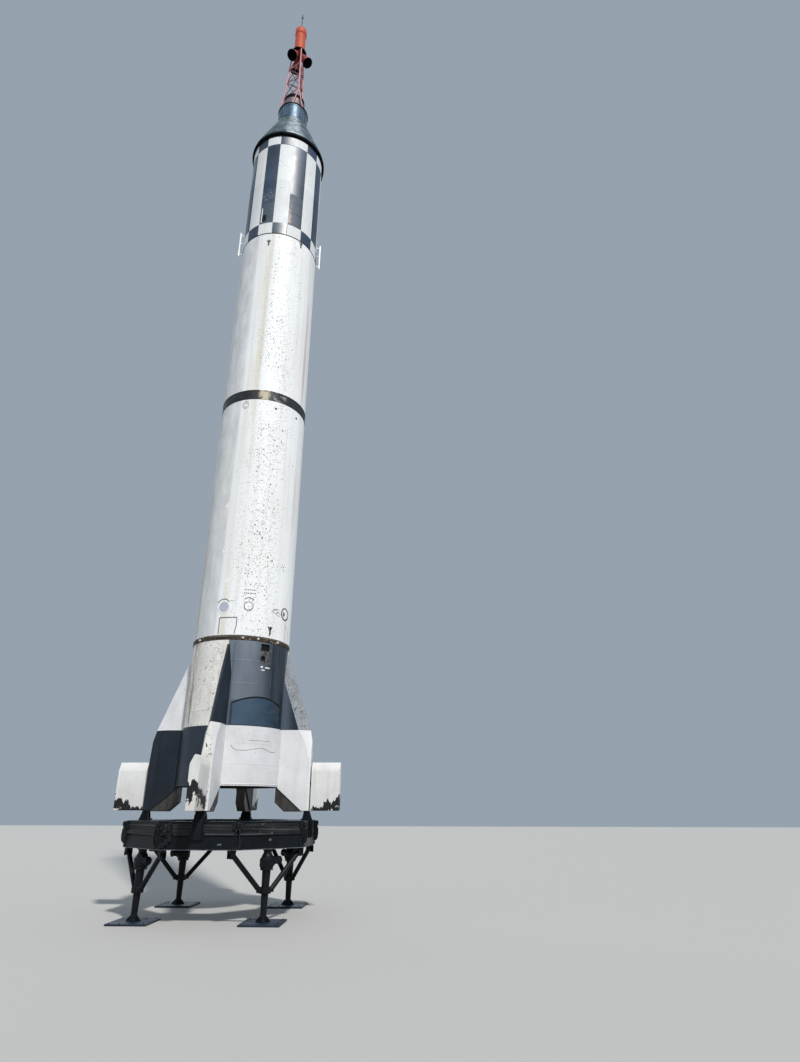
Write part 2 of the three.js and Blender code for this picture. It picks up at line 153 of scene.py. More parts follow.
def paint(name, colours, rough=0.5, metal=0.0, mottle=(0.9, 0.5), streak=(9.0, 0.4), stretch=(1, 1, 0.05),
          chips=(26.0, 0.66), grain=(160.0, 0.12), shine=0.5, more=None):
    """Weathered paint in four colours: a coat mottled with a shade, stained in streaks, and chipped
    down to a primer. More is a function that adds this piece's own marks to colour and roughness."""
    coat, shade, stain, primer = colours.split()
    made = bpy.data.materials.new(name)
    made.use_nodes = True
    tree = made.node_tree
    shader = tree.nodes["Principled BSDF"]
    place = node(tree, "ShaderNodeTexCoord").outputs["Object"]
    blotch = noise(place, mottle[0], 6)
    cover = over(tint(coat), shade, ramp(blotch, 0.38, 0.66, 0, mottle[1]))
    cover = over(cover, stain, ramp(noise(place, streak[0], 3, stretch), 0.5, 0.72, 0, streak[1]))
    flakes = ramp(noise(place, chips[0], 4), chips[1], chips[1] + 0.012)
    flakes = times(flakes, ramp(noise(place, 1.7, 3), 0.42, 0.6))
    cover = over(cover, primer, flakes)
    gloss = ramp(blotch, 0.3, 0.7, rough - 0.1, rough + 0.12)
    if more:
        cover, gloss = more(place, cover, gloss)
    relief = sums("SUBTRACT", noise(place, grain[0], 2), flakes)
    bump = node(tree, "ShaderNodeBump", {"Height": relief, "Strength": grain[1], "Distance": 0.004})
    tree.links.new(bump.outputs[0], shader.inputs["Normal"])
    tree.links.new(cover, shader.inputs["Base Color"])
    tree.links.new(gloss, shader.inputs["Roughness"])
    shader.inputs["Metallic"].default_value = metal
    shader.inputs["Specular IOR Level"].default_value = shine
    return made


def on_axis(azimuth, radius=0.0, height=0.0):
    """Places a shape at a radius, an azimuth in degrees and a height, with X outward and Z up."""
    return Matrix.Rotation(radians(azimuth), 4, "Z") @ Matrix.Translation((radius, 0, height))


def steps(radius, height, *offsets):
    """Rows of (radius, height), given as offsets from one radius and height."""
    return [(radius + r, height + z) for r, z in offsets]


def turned(shape, rows, sides=48, at=Matrix(), first=0.0, closed=False, finish=0):
    """Turns rows of (radius, height), which go up the outside, about Z. Its two ends close on the axis,
    or on each other in a ring. Finish may ask a face's middle."""
    if not closed:
        rows = [(0, rows[0][1]), *rows, (0, rows[-1][1])]
    rings = []
    for radius, height in rows:
        angles = [radians(first) + 2 * pi * i / sides for i in range(sides if radius > 1e-6 else 1)]
        points = [at @ Vector((radius * cos(a), radius * sin(a), height)) for a in angles]
        rings.append([shape.verts.new(point) for point in points])
    for low, high in zip(rings, rings[1:] + rings[:1] if closed else rings[1:]):
        for i in range(sides):
            j = (i + 1) % sides
            ring = [low[i % len(low)], low[j % len(low)], high[j % len(high)], high[i % len(high)]]
            face = shape.faces.new(list(dict.fromkeys(ring)))
            face.material_index = finish(face.calc_center_median()) if callable(finish) else finish


def joined(shape, outlines, finish=0):
    """Skins a stack of equal outlines, lowest first, and closes both ends."""
    sides = range(len(outlines[0]))
    faces = [outlines[0][::-1], outlines[-1]]
    for one, two in zip(outlines, outlines[1:]):
        faces += [[one[i], one[i - len(one) + 1], two[i - len(one) + 1], two[i]] for i in sides]
    for face in faces:
        shape.faces.new(face).material_index = finish


def stacked(shape, levels, at=Matrix(), finish=0):
    """A solid between levels of (height, outline), lowest first, with (x, y) points anticlockwise."""
    joined(shape, [[shape.verts.new(at @ Vector((x, y, z))) for x, y in outline] for z, outline in levels],
           finish)


def slab(shape, outline, low, high, at=Matrix(), finish=0):
    stacked(shape, [(z, outline) for z in sorted((low, high))], at, finish)


def block(shape, xs, ys, zs, at=Matrix(), finish=0):
    (a, b), (c, d) = sorted(xs), sorted(ys)
    slab(shape, [(a, c), (b, c), (b, d), (a, d)], *zs, at, finish)


def settle(piece, replaced=None, body=ROOT):
    """The piece rides on a body and may stand for a CAD node, which it hides."""
    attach(piece, body)
    if replaced:
        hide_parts(replaced)


def formed(name, shape, paints, edge=0.0, crease=35):
    """Makes the object. Edge is how far its hard edges are rounded. Crease is the angle, in degrees,
    from which an edge is hard."""
    mesh = bpy.data.meshes.new(name)
    shape.to_mesh(mesh)
    shape.free()
    for one in paints:
        mesh.materials.append(one)
    mesh.shade_smooth()
    piece = bpy.data.objects.new(name, mesh)
    bpy.context.scene.collection.objects.link(piece)
    if edge:
        rounding = piece.modifiers.new("rounded edges", "BEVEL")
        rounding.width = edge
        rounding.segments = 2
        rounding.angle_limit = radians(crease)
        rounding.harden_normals = True
    else:
        mesh.set_sharp_from_angle(angle=radians(crease))
    return piece


def finished(name, shape, paints, replaced=None, body=ROOT, edge=0.0, crease=35):
    settle(formed(name, shape, paints, edge, crease), replaced, body)


def new_tree(name, entries):
    """A Geometry Nodes tree with named inputs, the first of them the geometry."""
    tree = bpy.data.node_groups.new(name, "GeometryNodeTree")
    for label, kind in entries.items():
        tree.interface.new_socket(label, in_out="INPUT", socket_type="NodeSocket" + kind)
    tree.interface.new_socket("Made", in_out="OUTPUT", socket_type="NodeSocketGeometry")
    return tree, tree.nodes.new("NodeGroupInput").outputs


def end_tree(geometry, finish):
    real = node(geometry, "GeometryNodeRealizeInstances", {"Geometry": geometry}).outputs[0]
    coated = node(real, "GeometryNodeSetMaterial", {"Geometry": real, "Material": finish}).outputs[0]
    coated.id_data.links.new(coated, coated.id_data.nodes.new("NodeGroupOutput").inputs[0])


def grown(name, points, edges, tree, sizes, crease):
    """Runs a Geometry Nodes tree on points and edges, and keeps what it makes as a plain mesh."""
    mesh = bpy.data.meshes.new(name)
    mesh.from_pydata([tuple(point) for point in points], edges, [])
    piece = bpy.data.objects.new(name, mesh)
    bpy.context.scene.collection.objects.link(piece)
    ways = sizes.pop("Ways", None)
    if ways:
        facing = mesh.attributes.new("facing", "FLOAT_VECTOR", "POINT")
        facing.data.foreach_set("vector", [c for way in ways for c in way])
    growth = piece.modifiers.new(tree.name, "NODES")
    growth.node_group = tree
    for entry in tree.interface.items_tree:
        if entry.in_out == "INPUT" and entry.name in sizes:
            growth[entry.identifier] = sizes[entry.name]
    made = bpy.data.meshes.new_from_object(piece.evaluated_get(bpy.context.evaluated_depsgraph_get()))
    piece.modifiers.remove(growth)
    piece.data = made
    made.shade_smooth()
    made.set_sharp_from_angle(angle=radians(crease))
    return piece


fastener_tree, given = new_tree("fasteners", {
    "Points": "Geometry", "Head radius": "Float", "Head height": "Float", "Head sides": "Int",
    "Finish": "Material",
})
head_top = node(fastener_tree, "ShaderNodeMath", {0: given["Head radius"], 1: 0.72}, operation="MULTIPLY")
head = node(fastener_tree, "GeometryNodeMeshCone", {
    "Vertices": given["Head sides"], "Radius Bottom": given["Head radius"],
    "Radius Top": head_top.outputs[0], "Depth": given["Head height"],
})
way = node(fastener_tree, "GeometryNodeInputNamedAttribute", {"Name": "facing"}, data_type="FLOAT_VECTOR")
way_out = next(o for o in way.outputs if o.enabled and o.name == "Attribute")
aligned = node(fastener_tree, "FunctionNodeAlignRotationToVector", {"Vector": way_out}, axis="Z")
set_in = node(fastener_tree, "GeometryNodeInstanceOnPoints", {
    "Points": given["Points"], "Instance": head.outputs["Mesh"], "Rotation": aligned.outputs[0],
})
end_tree(set_in.outputs[0], given["Finish"])


def fasteners(name, seats, radius, height, metal, sides=8, body=ROOT):
    """Bolt or rivet heads on seats, each a (point, direction) pair."""
    sizes = {"Head radius": radius, "Head height": height, "Head sides": sides, "Finish": metal}
    sizes["Ways"] = [way for _, way in seats]
    settle(grown(name, [point for point, _ in seats], [], fastener_tree, sizes, 30), body=body)


def seat(at, x, y, z, way):
    """A fastener's point and direction, given from a piece's own place."""
    return at @ Vector((x, y, z)), at.to_3x3() @ Vector(way)


def round_row(radius, height, count, first=0.0, last=360.0):
    """Fastener seats round the body at one height."""
    angles = [radians(first + (last - first) * i / count) for i in range(count)]
    return [((radius * cos(a), radius * sin(a), height), (cos(a), sin(a), 0)) for a in angles]


table_black = paint("table_gloss", "0b0e12 151a20 050608 62676b", rough=0.4, mottle=(1.4, 0.8),
                    streak=(5, 0.5), chips=(34, 0.73), grain=(60, 0.12), shine=0.16)
rail_worn = paint("rail_worn", "121417 24272a 565b5e 84877f", mottle=(5, 0.8), streak=(2.2, 0.75),
                  stretch=(0.3, 0.3, 26), chips=(30, 0.66), grain=(80, 0.3), shine=0.16)
bolt_black = paint("bolt_black", "14171b 24272b 08090b 5b5e60", mottle=(12, 0.7), chips=(60, 0.66),
                   shine=0.16)
# grey for the blank label plates, and a painted highlight along the table's lower lip
lip_highlight_and_labels = paint("lip_highlight_and_labels", "6f777e 4b5157 25282c 121417", mottle=(3, 0.9), streak=(3, 0.7),
                 stretch=(0.3, 0.3, 1), chips=(18, 0.58), grain=(80, 0.2), shine=0.3)
GROOVE = (1.205, 1.222)


def table_finish(p):
    """The rail is worn, the lower lip is painted pale as a highlight along its edge, and the rest is black.
    """
    if hypot(p.x, p.y) < 1.3:
        return 0
    return 2 if TABLE_LOW < p.z < TABLE_LOW + 0.012 else 1 if GROOVE[1] < p.z < 1.395 else 0


shape = bmesh.new()
rows = steps(TABLE_CORNER, 0, (0.004, TABLE_LOW), (0.006, 1.031), (0, 1.034), (0, GROOVE[0]),
             (-0.025, 1.206), (-0.025, 1.221), (0, GROOVE[1]), (0, 1.238), (-0.009, 1.242), (-0.009, 1.345),
             (-0.003, 1.349), (-0.003, 1.366), (-0.009, 1.37), (-0.009, 1.392), (0, 1.396), (0, TABLE_TOP))
rows = [(TABLE_HOLE, TABLE_LOW), *rows, (TABLE_HOLE, TABLE_TOP)]
turned(shape, rows, 8, first=22.5, closed=True, finish=table_finish)
paints = [table_black, rail_worn, lip_highlight_and_labels]
finished("table_box", shape, paints, "table_ring", edge=0.003, crease=20)

# corner clamps: each lug is (radius, height), and its plates lie on both faces of the corner
LUG = [(1.56, 1.085), (1.615, 1.085), (1.642, 1.12), (1.652, 1.19), (1.648, 1.285), (1.628, 1.314),
       (1.56, 1.314)]
PLATES = [(0.004, 0.066, 1.034, 1.2, 0.01), (0.004, 0.082, 1.3, 1.402, 0.016)]
PLATE_BOLTS = [(0.05, z, 0.009) for z in (1.052, 1.118, 1.184)]
PLATE_BOLTS += [(0.066, z, 0.015) for z in (1.318, 1.382)]
CLAMP_PIN = [(0.024, 1.3), (0.024, 1.336), (0.034, 1.34), (0.036, 1.346), (0.036, 1.395), (0.026, 1.404),
             (0.014, 1.41)]
shape = bmesh.new()
seats = []
for azimuth in CORNERS:
    for side in (-1, 1):
        face = on_axis(azimuth, TABLE_CORNER) @ Matrix.Rotation(radians(side * 22.5), 4, "Z")
        for near, far, low, high, proud in PLATES:
            block(shape, (-0.012, proud), (side * near, side * far), (low, high), face)
        seats += [seat(face, proud, side * along, height, (1, 0, 0))
                  for along, height, proud in PLATE_BOLTS]
        slab(shape, LUG, side * 0.016, side * 0.036, on_axis(azimuth) @ STANDING)
    turned(shape, CLAMP_PIN, 20, on_axis(azimuth, TABLE_CORNER + 0.022))
finished("corner_clamps", shape, [bolt_black], edge=0.006, crease=30)
fasteners("clamp_bolts", seats, 0.009, 0.01, bolt_black, sides=6)

# a hinged hook on the front face, and two pale label plates left blank
shape = bmesh.new()
front = on_axis(-90, TABLE_FACE)
block(shape, (-0.004, 0.03), (-0.47, -0.4), (1.2, 1.396), front)
block(shape, (0.026, 0.05), (-0.46, -0.41), (1.29, 1.37), front)
block(shape, (-0.004, 0.022), (-0.53, -0.37), (1.235, 1.262), front)
for low, high, y in ((1.05, 1.13, -0.54), (1.09, 1.18, -0.49), (1.13, 1.21, -0.44)):
    block(shape, (-0.004, 0.028), (y, y + 0.06), (low, high), front)
finished("table_hook", shape, [bolt_black], edge=0.005)
shape = bmesh.new()
for azimuth, across, height, wide, tall in ((-90, 0.35, 1.1, 0.032, 0.012),
                                            (-45, -0.02, 1.155, 0.022, 0.014)):
    plate = on_axis(azimuth, TABLE_FACE)
    block(shape, (-0.003, 0.003), (across - wide, across + wide), (height - tall, height + tall), plate)
finished("blank_labels", shape, [lip_highlight_and_labels], edge=0.0015)

# Table legs: tapered steel tubes on square foot plates. Each goes up through the eight-sided housing
# of a screw jack, whose drive lies sideways, and gussets are welded round its foot.
LEG_AXIS = 1.4
LEGS = [45, 135, 225, 315]
FOOT_HALF = 0.31
FOOT_TOP = 0.028
JACK_MIDDLE = 0.855
SQUARE = [(-1, -1), (1, -1), (1, 1), (-1, 1)]
foot_blue = paint("foot_blue", "18212e 26344a 10151c 5f5d57", mottle=(3, 0.8), streak=(6, 0.4),
                  stretch=(1, 1, 1), chips=(24, 0.70), grain=(90, 0.2), shine=0.3)
LEG_PARTS = [[(0.085, 0.026), (0.085, 0.04), (0.056, 0.044), (0.046, 0.07), (0.055, 0.4), (0.0665, 0.745)],
             [(0.098, 0.735), (0.098, 0.76), (0.086, 0.764)],
             [(0.1, 0.762), (0.114, 0.782), (0.114, 0.88), (0.1, 0.902)],
             [(0.09, 0.9), (0.086, 0.925), (0.07, 0.955), (0.062, 0.962), (0.062, 1.0), (0.08, 1.004),
              (0.08, 1.0197)]]
DRIVE = [(0.068, 0.08), (0.068, 0.125), (0.06, 0.128), (0.052, 0.14), (0.052, 0.205), (0.062, 0.21),
         (0.062, 0.238), (0.05, 0.244), (0.02, 0.246), (0.02, 0.262)]
GUSSET = [(0.04, FOOT_TOP), (0.115, FOOT_TOP), (0.115, 0.036), (0.054, 0.105), (0.04, 0.105)]
seats = []
for number, azimuth in enumerate(LEGS, 1):
    leg = on_axis(azimuth, LEG_AXIS)
    square = leg @ Matrix.Rotation(radians(45), 4, "Z")
    shape = bmesh.new()
    block(shape, (-FOOT_HALF, FOOT_HALF), (-FOOT_HALF, FOOT_HALF), (0, FOOT_TOP), square, finish=1)
    for rows, sides, first in zip(LEG_PARTS, (40, 40, 8, 40), (0, 0, 22.5, 0)):
        turned(shape, rows, sides, leg, first)
    drive = leg @ Matrix.Translation((0, 0, JACK_MIDDLE)) @ Matrix.Rotation(-pi / 2, 4, "X")
    turned(shape, DRIVE, 28, drive)
    for k in range(4):
        slab(shape, GUSSET, -0.007, 0.007, square @ Matrix.Rotation(k * pi / 2, 4, "Z") @ STANDING)
    for k in range(8):
        spot = leg @ Matrix.Rotation(radians(45 * k), 4, "Z")
        seats += [seat(spot, 0.104, 0, z, (1, 0, 0)) for z in (0.8, 0.862)]
        seats.append(seat(spot, 0.09, 0, 0.735, (0, 0, -1)))
    seats += [seat(square, x * 0.26, y * across, 0.027, (0, 0, 1))
              for x, y in SQUARE for across in (0.26, 0.1)]
    paints = [table_black, foot_blue]
    finished(f"jack_leg_{number}", shape, paints, f"table_leg_{number}", edge=0.003)
fasteners("leg_bolts", seats, 0.011, 0.011, bolt_black, sides=6)

# Leg braces: two round steel struts spread from a split collar, clamped on each leg, up to pads
# under the table. A bolt holds each upper end between two cheeks.
BRACE_FOOT = 0.45
BRACE_REACH = 0.62
BRACE_HEAD_IN = 0.03
BRACE_HEAD = TABLE_LOW - 0.045
BRACE_RADIUS = 0.038
COLLAR = [(0.066, 0.405), (0.085, 0.405), (0.092, 0.412), (0.092, 0.488), (0.085, 0.495), (0.066, 0.495)]
pipe_tree, given = new_tree("pipes", {
    "Paths": "Geometry", "Pipe radius": "Float", "Pipe sides": "Int", "Finish": "Material",
})
path = node(pipe_tree, "GeometryNodeMeshToCurve", {0: given["Paths"]})
rim = node(pipe_tree, "GeometryNodeCurvePrimitiveCircle", {
    "Resolution": given["Pipe sides"], "Radius": given["Pipe radius"],
})
pipe = node(pipe_tree, "GeometryNodeCurveToMesh", {
    "Curve": path.outputs[0], "Profile Curve": rim.outputs[0], "Fill Caps": True,
})
end_tree(pipe.outputs[0], given["Finish"])


def pipes(name, paths, radius, coat, sides=12):
    """Round bars or beads along paths, each a list of points."""
    points = [point for line in paths for point in line]
    edges = []
    start = 0
    for line in paths:
        edges += [(start + i, start + i + 1) for i in range(len(line) - 1)]
        start += len(line)
    sizes = {"Pipe radius": radius, "Pipe sides": sides, "Finish": coat}
    settle(grown(name, points, edges, pipe_tree, sizes, 50))


struts = []
seats = []
for number, azimuth in enumerate(LEGS, 1):
    leg = on_axis(azimuth, LEG_AXIS)
    shape = bmesh.new()
    turned(shape, COLLAR, 32, leg, closed=True)
    for side in (-1, 1):
        block(shape, (-0.022, 0.022), (side * 0.085, side * 0.145), (0.42, 0.485), leg)
        pad = leg @ Matrix.Translation((-BRACE_HEAD_IN, BRACE_REACH * side, 0))
        block(shape, (-0.04, 0.04), (-0.055, 0.055), (0.9797, 1.0197), pad)
        for cheek in (-1, 1):
            block(shape, (cheek * 0.04, cheek * 0.052), (-0.045, 0.045), (0.9, 1.0), pad)
            seats.append(seat(pad, cheek * 0.051, 0, 0.94, (cheek, 0, 0)))
            seats.append(seat(leg, cheek * 0.022, side * 0.12, 0.452, (cheek, 0, 0)))
        struts.append([leg @ Vector((0, side * 0.1, BRACE_FOOT)), pad @ Vector((0, 0, BRACE_HEAD))])
    finished(f"brace_ends_{number}", shape, [table_black], f"leg_braces_{number}",
             edge=0.003)
pipes("brace_struts", struts, BRACE_RADIUS, table_black, sides=20)
fasteners("brace_bolts", seats, 0.013, 0.012, bolt_black, sides=6)

# Fin brackets: black welded brackets bolted over the table's edge, two cheeks with a web between,
# that carry the tip of each fin.
FINS = [0, 90, 180, 270]
BRACKET = [(1.34, 1.4203), (1.4756, 1.4203), (1.4756, 1.15), (1.512, 1.15), (1.53, 1.19), (1.53, 1.37),
           (1.485, 1.46), (1.447, 1.5697), (1.37, 1.5697), (1.355, 1.5)]
WEB = [(1.352, 1.43), (1.4856, 1.43), (1.4856, 1.16), (1.507, 1.16), (1.52, 1.2), (1.52, 1.36),
       (1.475, 1.455), (1.44, 1.56), (1.38, 1.56), (1.365, 1.49)]
BRACKET_PIN = [(0.024, -0.092), (0.028, -0.086), (0.028, 0.086), (0.024, 0.092)]
RIB = [(1.36, 1.436), (1.45, 1.436), (1.45, 1.445), (1.43, 1.52), (1.39, 1.52)]
seats = []
for number, azimuth in enumerate(FINS, 1):
    fin = on_axis(azimuth)
    shape = bmesh.new()
    for low, high in ((-0.075, -0.059), (0.059, 0.075)):
        slab(shape, BRACKET, low, high, fin @ STANDING)
    slab(shape, WEB, -0.0595, 0.0595, fin @ STANDING)
    block(shape, (1.36, 1.452), (-0.085, 0.085), (1.555, 1.5697), fin)
    block(shape, (1.325, 1.46), (-0.11, 0.11), (1.4203, 1.438), fin)
    block(shape, (1.4756, 1.492), (-0.11, 0.11), (1.165, 1.265), fin)
    turned(shape, BRACKET_PIN, 20, fin @ Matrix.Translation((1.42, 0, 1.49)) @ STANDING)
    for side in (1, -1):
        slab(shape, RIB, side * 0.095, side * 0.072, fin @ STANDING)
    finished(f"fin_bracket_{number}", shape, [table_black], f"fin_support_{number}",
             edge=0.003)
    for side in (-1, 1):
        seats += [seat(fin, x, side * 0.0745, z, (0, side, 0))
                  for x, z in ((1.43, 1.54), (1.48, 1.42), (1.505, 1.36), (1.5, 1.28))]
        seats += [seat(fin, x, side * 0.1, 1.4375, (0, 0, 1)) for x in (1.34, 1.448)]
        seats += [seat(fin, 1.4915, side * 0.096, z, (1, 0, 0)) for z in (1.185, 1.245)]
fasteners("bracket_bolts", seats, 0.012, 0.011, bolt_black, sides=6)

# Fin shoes: bare sheet-metal boxes under the slanted rear edge of each fin, dulled and stained.
# Rows of rivets run along their lower rims and up the slant.
SHOE = [(0.85, 1.7), (1.018, 1.555), (1.3, 1.555), (1.3197, 1.5697), (0.8649, 1.9497), (0.85, 1.9497)]
SHOE_RIM = [(0.862, 1.706), (1.024, 1.566), (1.29, 1.566), (1.262, 1.59), (1.034, 1.59), (0.885, 1.72)]
shoe_metal = paint("shoe_metal", "5a5955 403d38 3a2f22 1d1a17", rough=0.38, metal=0.7, mottle=(4, 0.8),
                   streak=(10, 0.5), chips=(30, 0.66))
seats = []
for number, azimuth in enumerate(FINS, 1):
    fin = on_axis(azimuth)
    shape = bmesh.new()
    slab(shape, SHOE, -0.08, 0.08, fin @ STANDING)
    for side in (-1, 1):
        slab(shape, SHOE_RIM, side * 0.0795, side * 0.083, fin @ STANDING)
        seats += [seat(fin, 1.05 + 0.04 * k, side * 0.0825, 1.578, (0, side, 0)) for k in range(6)]
        seats += [seat(fin, 0.889 + 0.03 * k, side * 0.0795, 1.885 - 0.025 * k, (0, side, 0))
                  for k in range(12)]
    finished(f"fin_shoe_{number}", shape, [shoe_metal], f"fin_foot_{number}", edge=0.002)
fasteners("shoe_rivets", seats, 0.005, 0.003, shoe_metal)

# Tail section: a riveted sheet-metal drum, open below, painted in quarters of black and white that
# change over at the fins' knee, with a dark bolted ring on top of it.
BODY = 0.889
WALL = 0.03
SIDES = 192
SKIRT_LOW = 1.95
TAIL_RING = 4.38
TANK_LOW = 4.47
GAP = 0.0003  # left open between one piece and the next
SPLIT = 2.908  # height where the tail's colours change over
OPENINGS = [(-52.4, -41.5, 4.225, 4.345), (-51.6, -46.2, 4.04, 4.125)]


def part_of(place, axis):
    return node(place, "ShaderNodeSeparateXYZ", {0: place}).outputs[axis]


def level(place):
    """The X and Y of a place, with no height."""
    return node(place, "ShaderNodeVectorMath", {0: place, 1: (1, 1, 0)}, operation="MULTIPLY").outputs[0]


def near_front(place, azimuth, width, full=0.4):
    """1 on the side of a round body that faces an azimuth, falling to 0 at a width in degrees. Full is
    the share of that width where it is still 1."""
    spot = node(place, "ShaderNodeVectorMath", {0: level(place)}, operation="NORMALIZE").outputs[0]
    facing = (cos(radians(azimuth)), sin(radians(azimuth)), 0)
    along = node(place, "ShaderNodeVectorMath", {0: spot, 1: facing}, operation="DOT_PRODUCT")
    return ramp(along.outputs["Value"], cos(radians(width)), cos(radians(width * full)))


def wear_and_shade_front(place, cover, gloss):
    """Fine dark specks where the sun and rain reach, a greyer sheet left of the front that is partly its
    own tone and partly painted shade, and long soft streaks of rust and old cream paint."""
    specks = ramp(noise(place, 34, 5), 0.585, 0.62)
    patch = ramp(noise(place, 1.2, 3, (1, 1, 0.5)), 0.36, 0.52)
    cover = over(cover, "6f6d68", specks, patch, near_front(place, -66, 38), 0.85)
    grey_and_shade_clouds = ramp(noise(place, 5, 6, (1, 1, 0.4)), 0.36, 0.62, 0.25, 0.75)
    # painted shade: the greyer sheet darkens the side that faces away from the sun
    cover = over(cover, "c4c5c7", grey_and_shade_clouds, near_front(place, -131, 23, 0.9))
    runs = ramp(noise(place, 6, 4, (1, 1, 0.05)), 0.42, 0.62)
    for azimuth, width, shade in ((-15, 5, "a98a76"), (-150, 9, "a58b76"), (-95, 9, "d3c9ad"),
                                  (-87, 4, "c9c4b4")):
        cover = over(cover, shade, runs, near_front(place, azimuth, width, 0.2), 0.55)
    return cover, gloss


def clean_below(place, cover, gloss):
    """The drum is weathered above the colour change, with scratches, and was repainted below it."""
    scratch = ramp(noise(place, 16, 7, (1, 1, 0.7)), 0.56, 0.6)
    cover = over(cover, "f0efec", scratch, ramp(noise(place, 3, 3), 0.42, 0.56), 0.7)
    specks = ramp(noise(place, 27, 5, (1, 1, 0.8)), 0.62, 0.645)
    cover = over(cover, "5a524a", specks, 0.8)
    rust = ramp(noise(place, 7, 5, (1, 1, 0.16)), 0.5, 0.64)
    cover = over(cover, "8f7a66", rust, near_front(place, -152, 26))
    fresh = over(tint("dadade"), "cbcacc", ramp(noise(place, 2.4, 5), 0.4, 0.7))
    fresh = over(fresh, "8c867c", specks, 0.2)
    below = ramp(part_of(place, "Z"), SPLIT - 0.001, SPLIT + 0.001, 0.92, 0)
    return mixed(below, cover, fresh), gloss


def scuffs_and_sheen_tail(place, cover, gloss):
    """Brown and pale rub marks round the open hatch, the sheets left of it faded grey with a painted sun
    sheen over them, and long faint streaks right of it."""
    height = part_of(place, "Z")
    fade_and_sheen_cloud = ramp(noise(place, 2.5, 6, (1, 1, 0.3)), 0.3, 0.66, 0.75, 0.45)
    # the grey on the sheets left of the hatch is faded paint and a painted sheen of the sun
    cover = over(cover, "7c8794", near_front(place, -83, 48, 0.45), ramp(height, 3.27, 3.36), fade_and_sheen_cloud)
    runs = ramp(noise(place, 15, 3, (1, 1, 0.03)), 0.45, 0.62)
    cover = over(cover, "4d5f70", runs, near_front(place, -36, 20), 0.3)
    where = times(ramp(height, 3.92, 4.05), ramp(height, 4.3, 4.2), near_front(place, -46, 10, 0.3))
    cover = over(cover, "39352e", where, ramp(noise(place, 16, 6, (1, 1, 1.3)), 0.42, 0.52))
    cover = over(cover, "76766b", where, ramp(noise(place, 24, 5), 0.56, 0.6))
    return over(cover, "7d8188", ramp(noise(place, 30, 5, (1, 1, 0.12)), 0.66, 0.7), 0.35), gloss


def painted_sheen_left(place, cover, gloss):
    """The arched cover is painted paler towards its left edge, as a painted sheen."""
    return over(cover, "3f5468", near_front(place, -95, 70, 0.1)), gloss


tank_white = paint("tank_white", "f2f3f4 e6e6e5 d9d6cc 7c786f", mottle=(0.8, 0.7), streak=(10, 0.45),
                   stretch=(1, 1, 0.03), chips=(30, 0.7), grain=(90, 0.06), shine=0.35, more=wear_and_shade_front)
tail_white = paint("tail_white", "edebe7 d6d3cb bab2a3 59544b", rough=0.55, mottle=(1.8, 0.9),
                   streak=(16, 0.4), stretch=(1, 1, 0.09), chips=(26, 0.65), grain=(90, 0.1), shine=0.3,
                   more=clean_below)
tail_black = paint("tail_black", "18222e 263443 0c1016 6f7278", rough=0.44, mottle=(1.1, 0.9),
                   streak=(8, 0.6), chips=(30, 0.71), grain=(90, 0.08), shine=0.6, more=scuffs_and_sheen_tail)
hatch_teal = paint("hatch_teal", "18283a 2c4152 5a5547 7c8a92", mottle=(3.4, 0.9), streak=(7, 0.4),
                   stretch=(0.4, 0.4, 2.4), chips=(24, 0.72), grain=(90, 0.08), shine=0.3, more=painted_sheen_left)
# grey for the root strips on the black quarters: a painted sheen along the fins' roots
root_strip_sheen = paint("root_strip_sheen", "5c6875 46515d 2e3741 8a8d90", rough=0.4, mottle=(3, 0.8), shine=0.6)
seam_dark = paint("seam_dark", "0d0f11 191c1f 060708 3b3c3c", rough=0.7, mottle=(3, 0.6), shine=0.2)
seam_pale = paint("seam_pale", "8f8b81 7a766c b3afa5 6d685e", rough=0.6, mottle=(4, 0.8), shine=0.3)
ring_rust = paint("ring_rust", "231e1b 4a3a2e 61452f 8b8276", rough=0.6, mottle=(6, 0.9), streak=(10, 0.5),
                  stretch=(1, 1, 1), chips=(26, 0.58), grain=(80, 0.3), shine=0.3)
ring_olive = paint("ring_olive", "6b6859 45413a 2b2724 a09b8c", rough=0.6, mottle=(2.2, 0.9),
                   streak=(6, 0.7), stretch=(1, 1, 1), chips=(26, 0.62), grain=(80, 0.3), shine=0.3)
inside_dark = paint("inside_dark", "26251f 39362f 131210 57534a", rough=0.7, mottle=(3, 0.8), shine=0.3)
bolt_pale = paint("bolt_pale", "d8d2c6 b9a890 8f7a60 5e5145", mottle=(20, 0.7))


def bead(height, proud, half=0.012):
    """A welded seam round the body, as rows of a turned shape."""
    return steps(BODY, height, (0, -half), (proud, -half / 3), (proud, half / 3), (0, half))


def azimuth_of(p):
    """The azimuth of a point, from 0 to 360."""
    return Vector((1, 0)).angle_signed(Vector((p.x, p.y)), 0) * -180 / pi % 360


def quarter_paint(p):
    """0 for white and 1 for black by the quarter between two fins and the height."""
    return int((azimuth_of(p) // 90 in (1, 3)) == (p.z > SPLIT))


def spun(name, rows, paints, solid, crease=25, sides=SIDES, finish=0):
    """A piece that is one shape turned about the rocket's axis."""
    shape = bmesh.new()
    turned(shape, rows, sides, finish=finish)
    finished(name, shape, paints, solid, crease=crease)


def cover_plate(shape, left, right, low, high, proud, corner, finish=0, columns=24, arch=None, radius=BODY):
    """A plate wrapped on a round body between two azimuths and two heights. Arch lifts its top edge."""
    width = radians(right - left) * radius
    outlines = []
    for i in range(columns + 1):
        share = (1 - cos(pi * i / columns)) / 2
        edge = min(share, 1 - share) * width
        cut = corner - sqrt(max(corner**2 - max(corner - edge, 0) ** 2, 0))
        foot = low + cut
        top = high - cut + (arch(share) if arch else 0)
        a = radians(left + (right - left) * share)
        rows = [(-0.002, top), (proud, top - 0.001), (proud, foot + 0.001), (-0.002, foot)]
        points = [((radius + r) * cos(a), (radius + r) * sin(a), z) for r, z in rows]
        outlines.append([shape.verts.new(point) for point in points])
    joined(shape, outlines, finish)


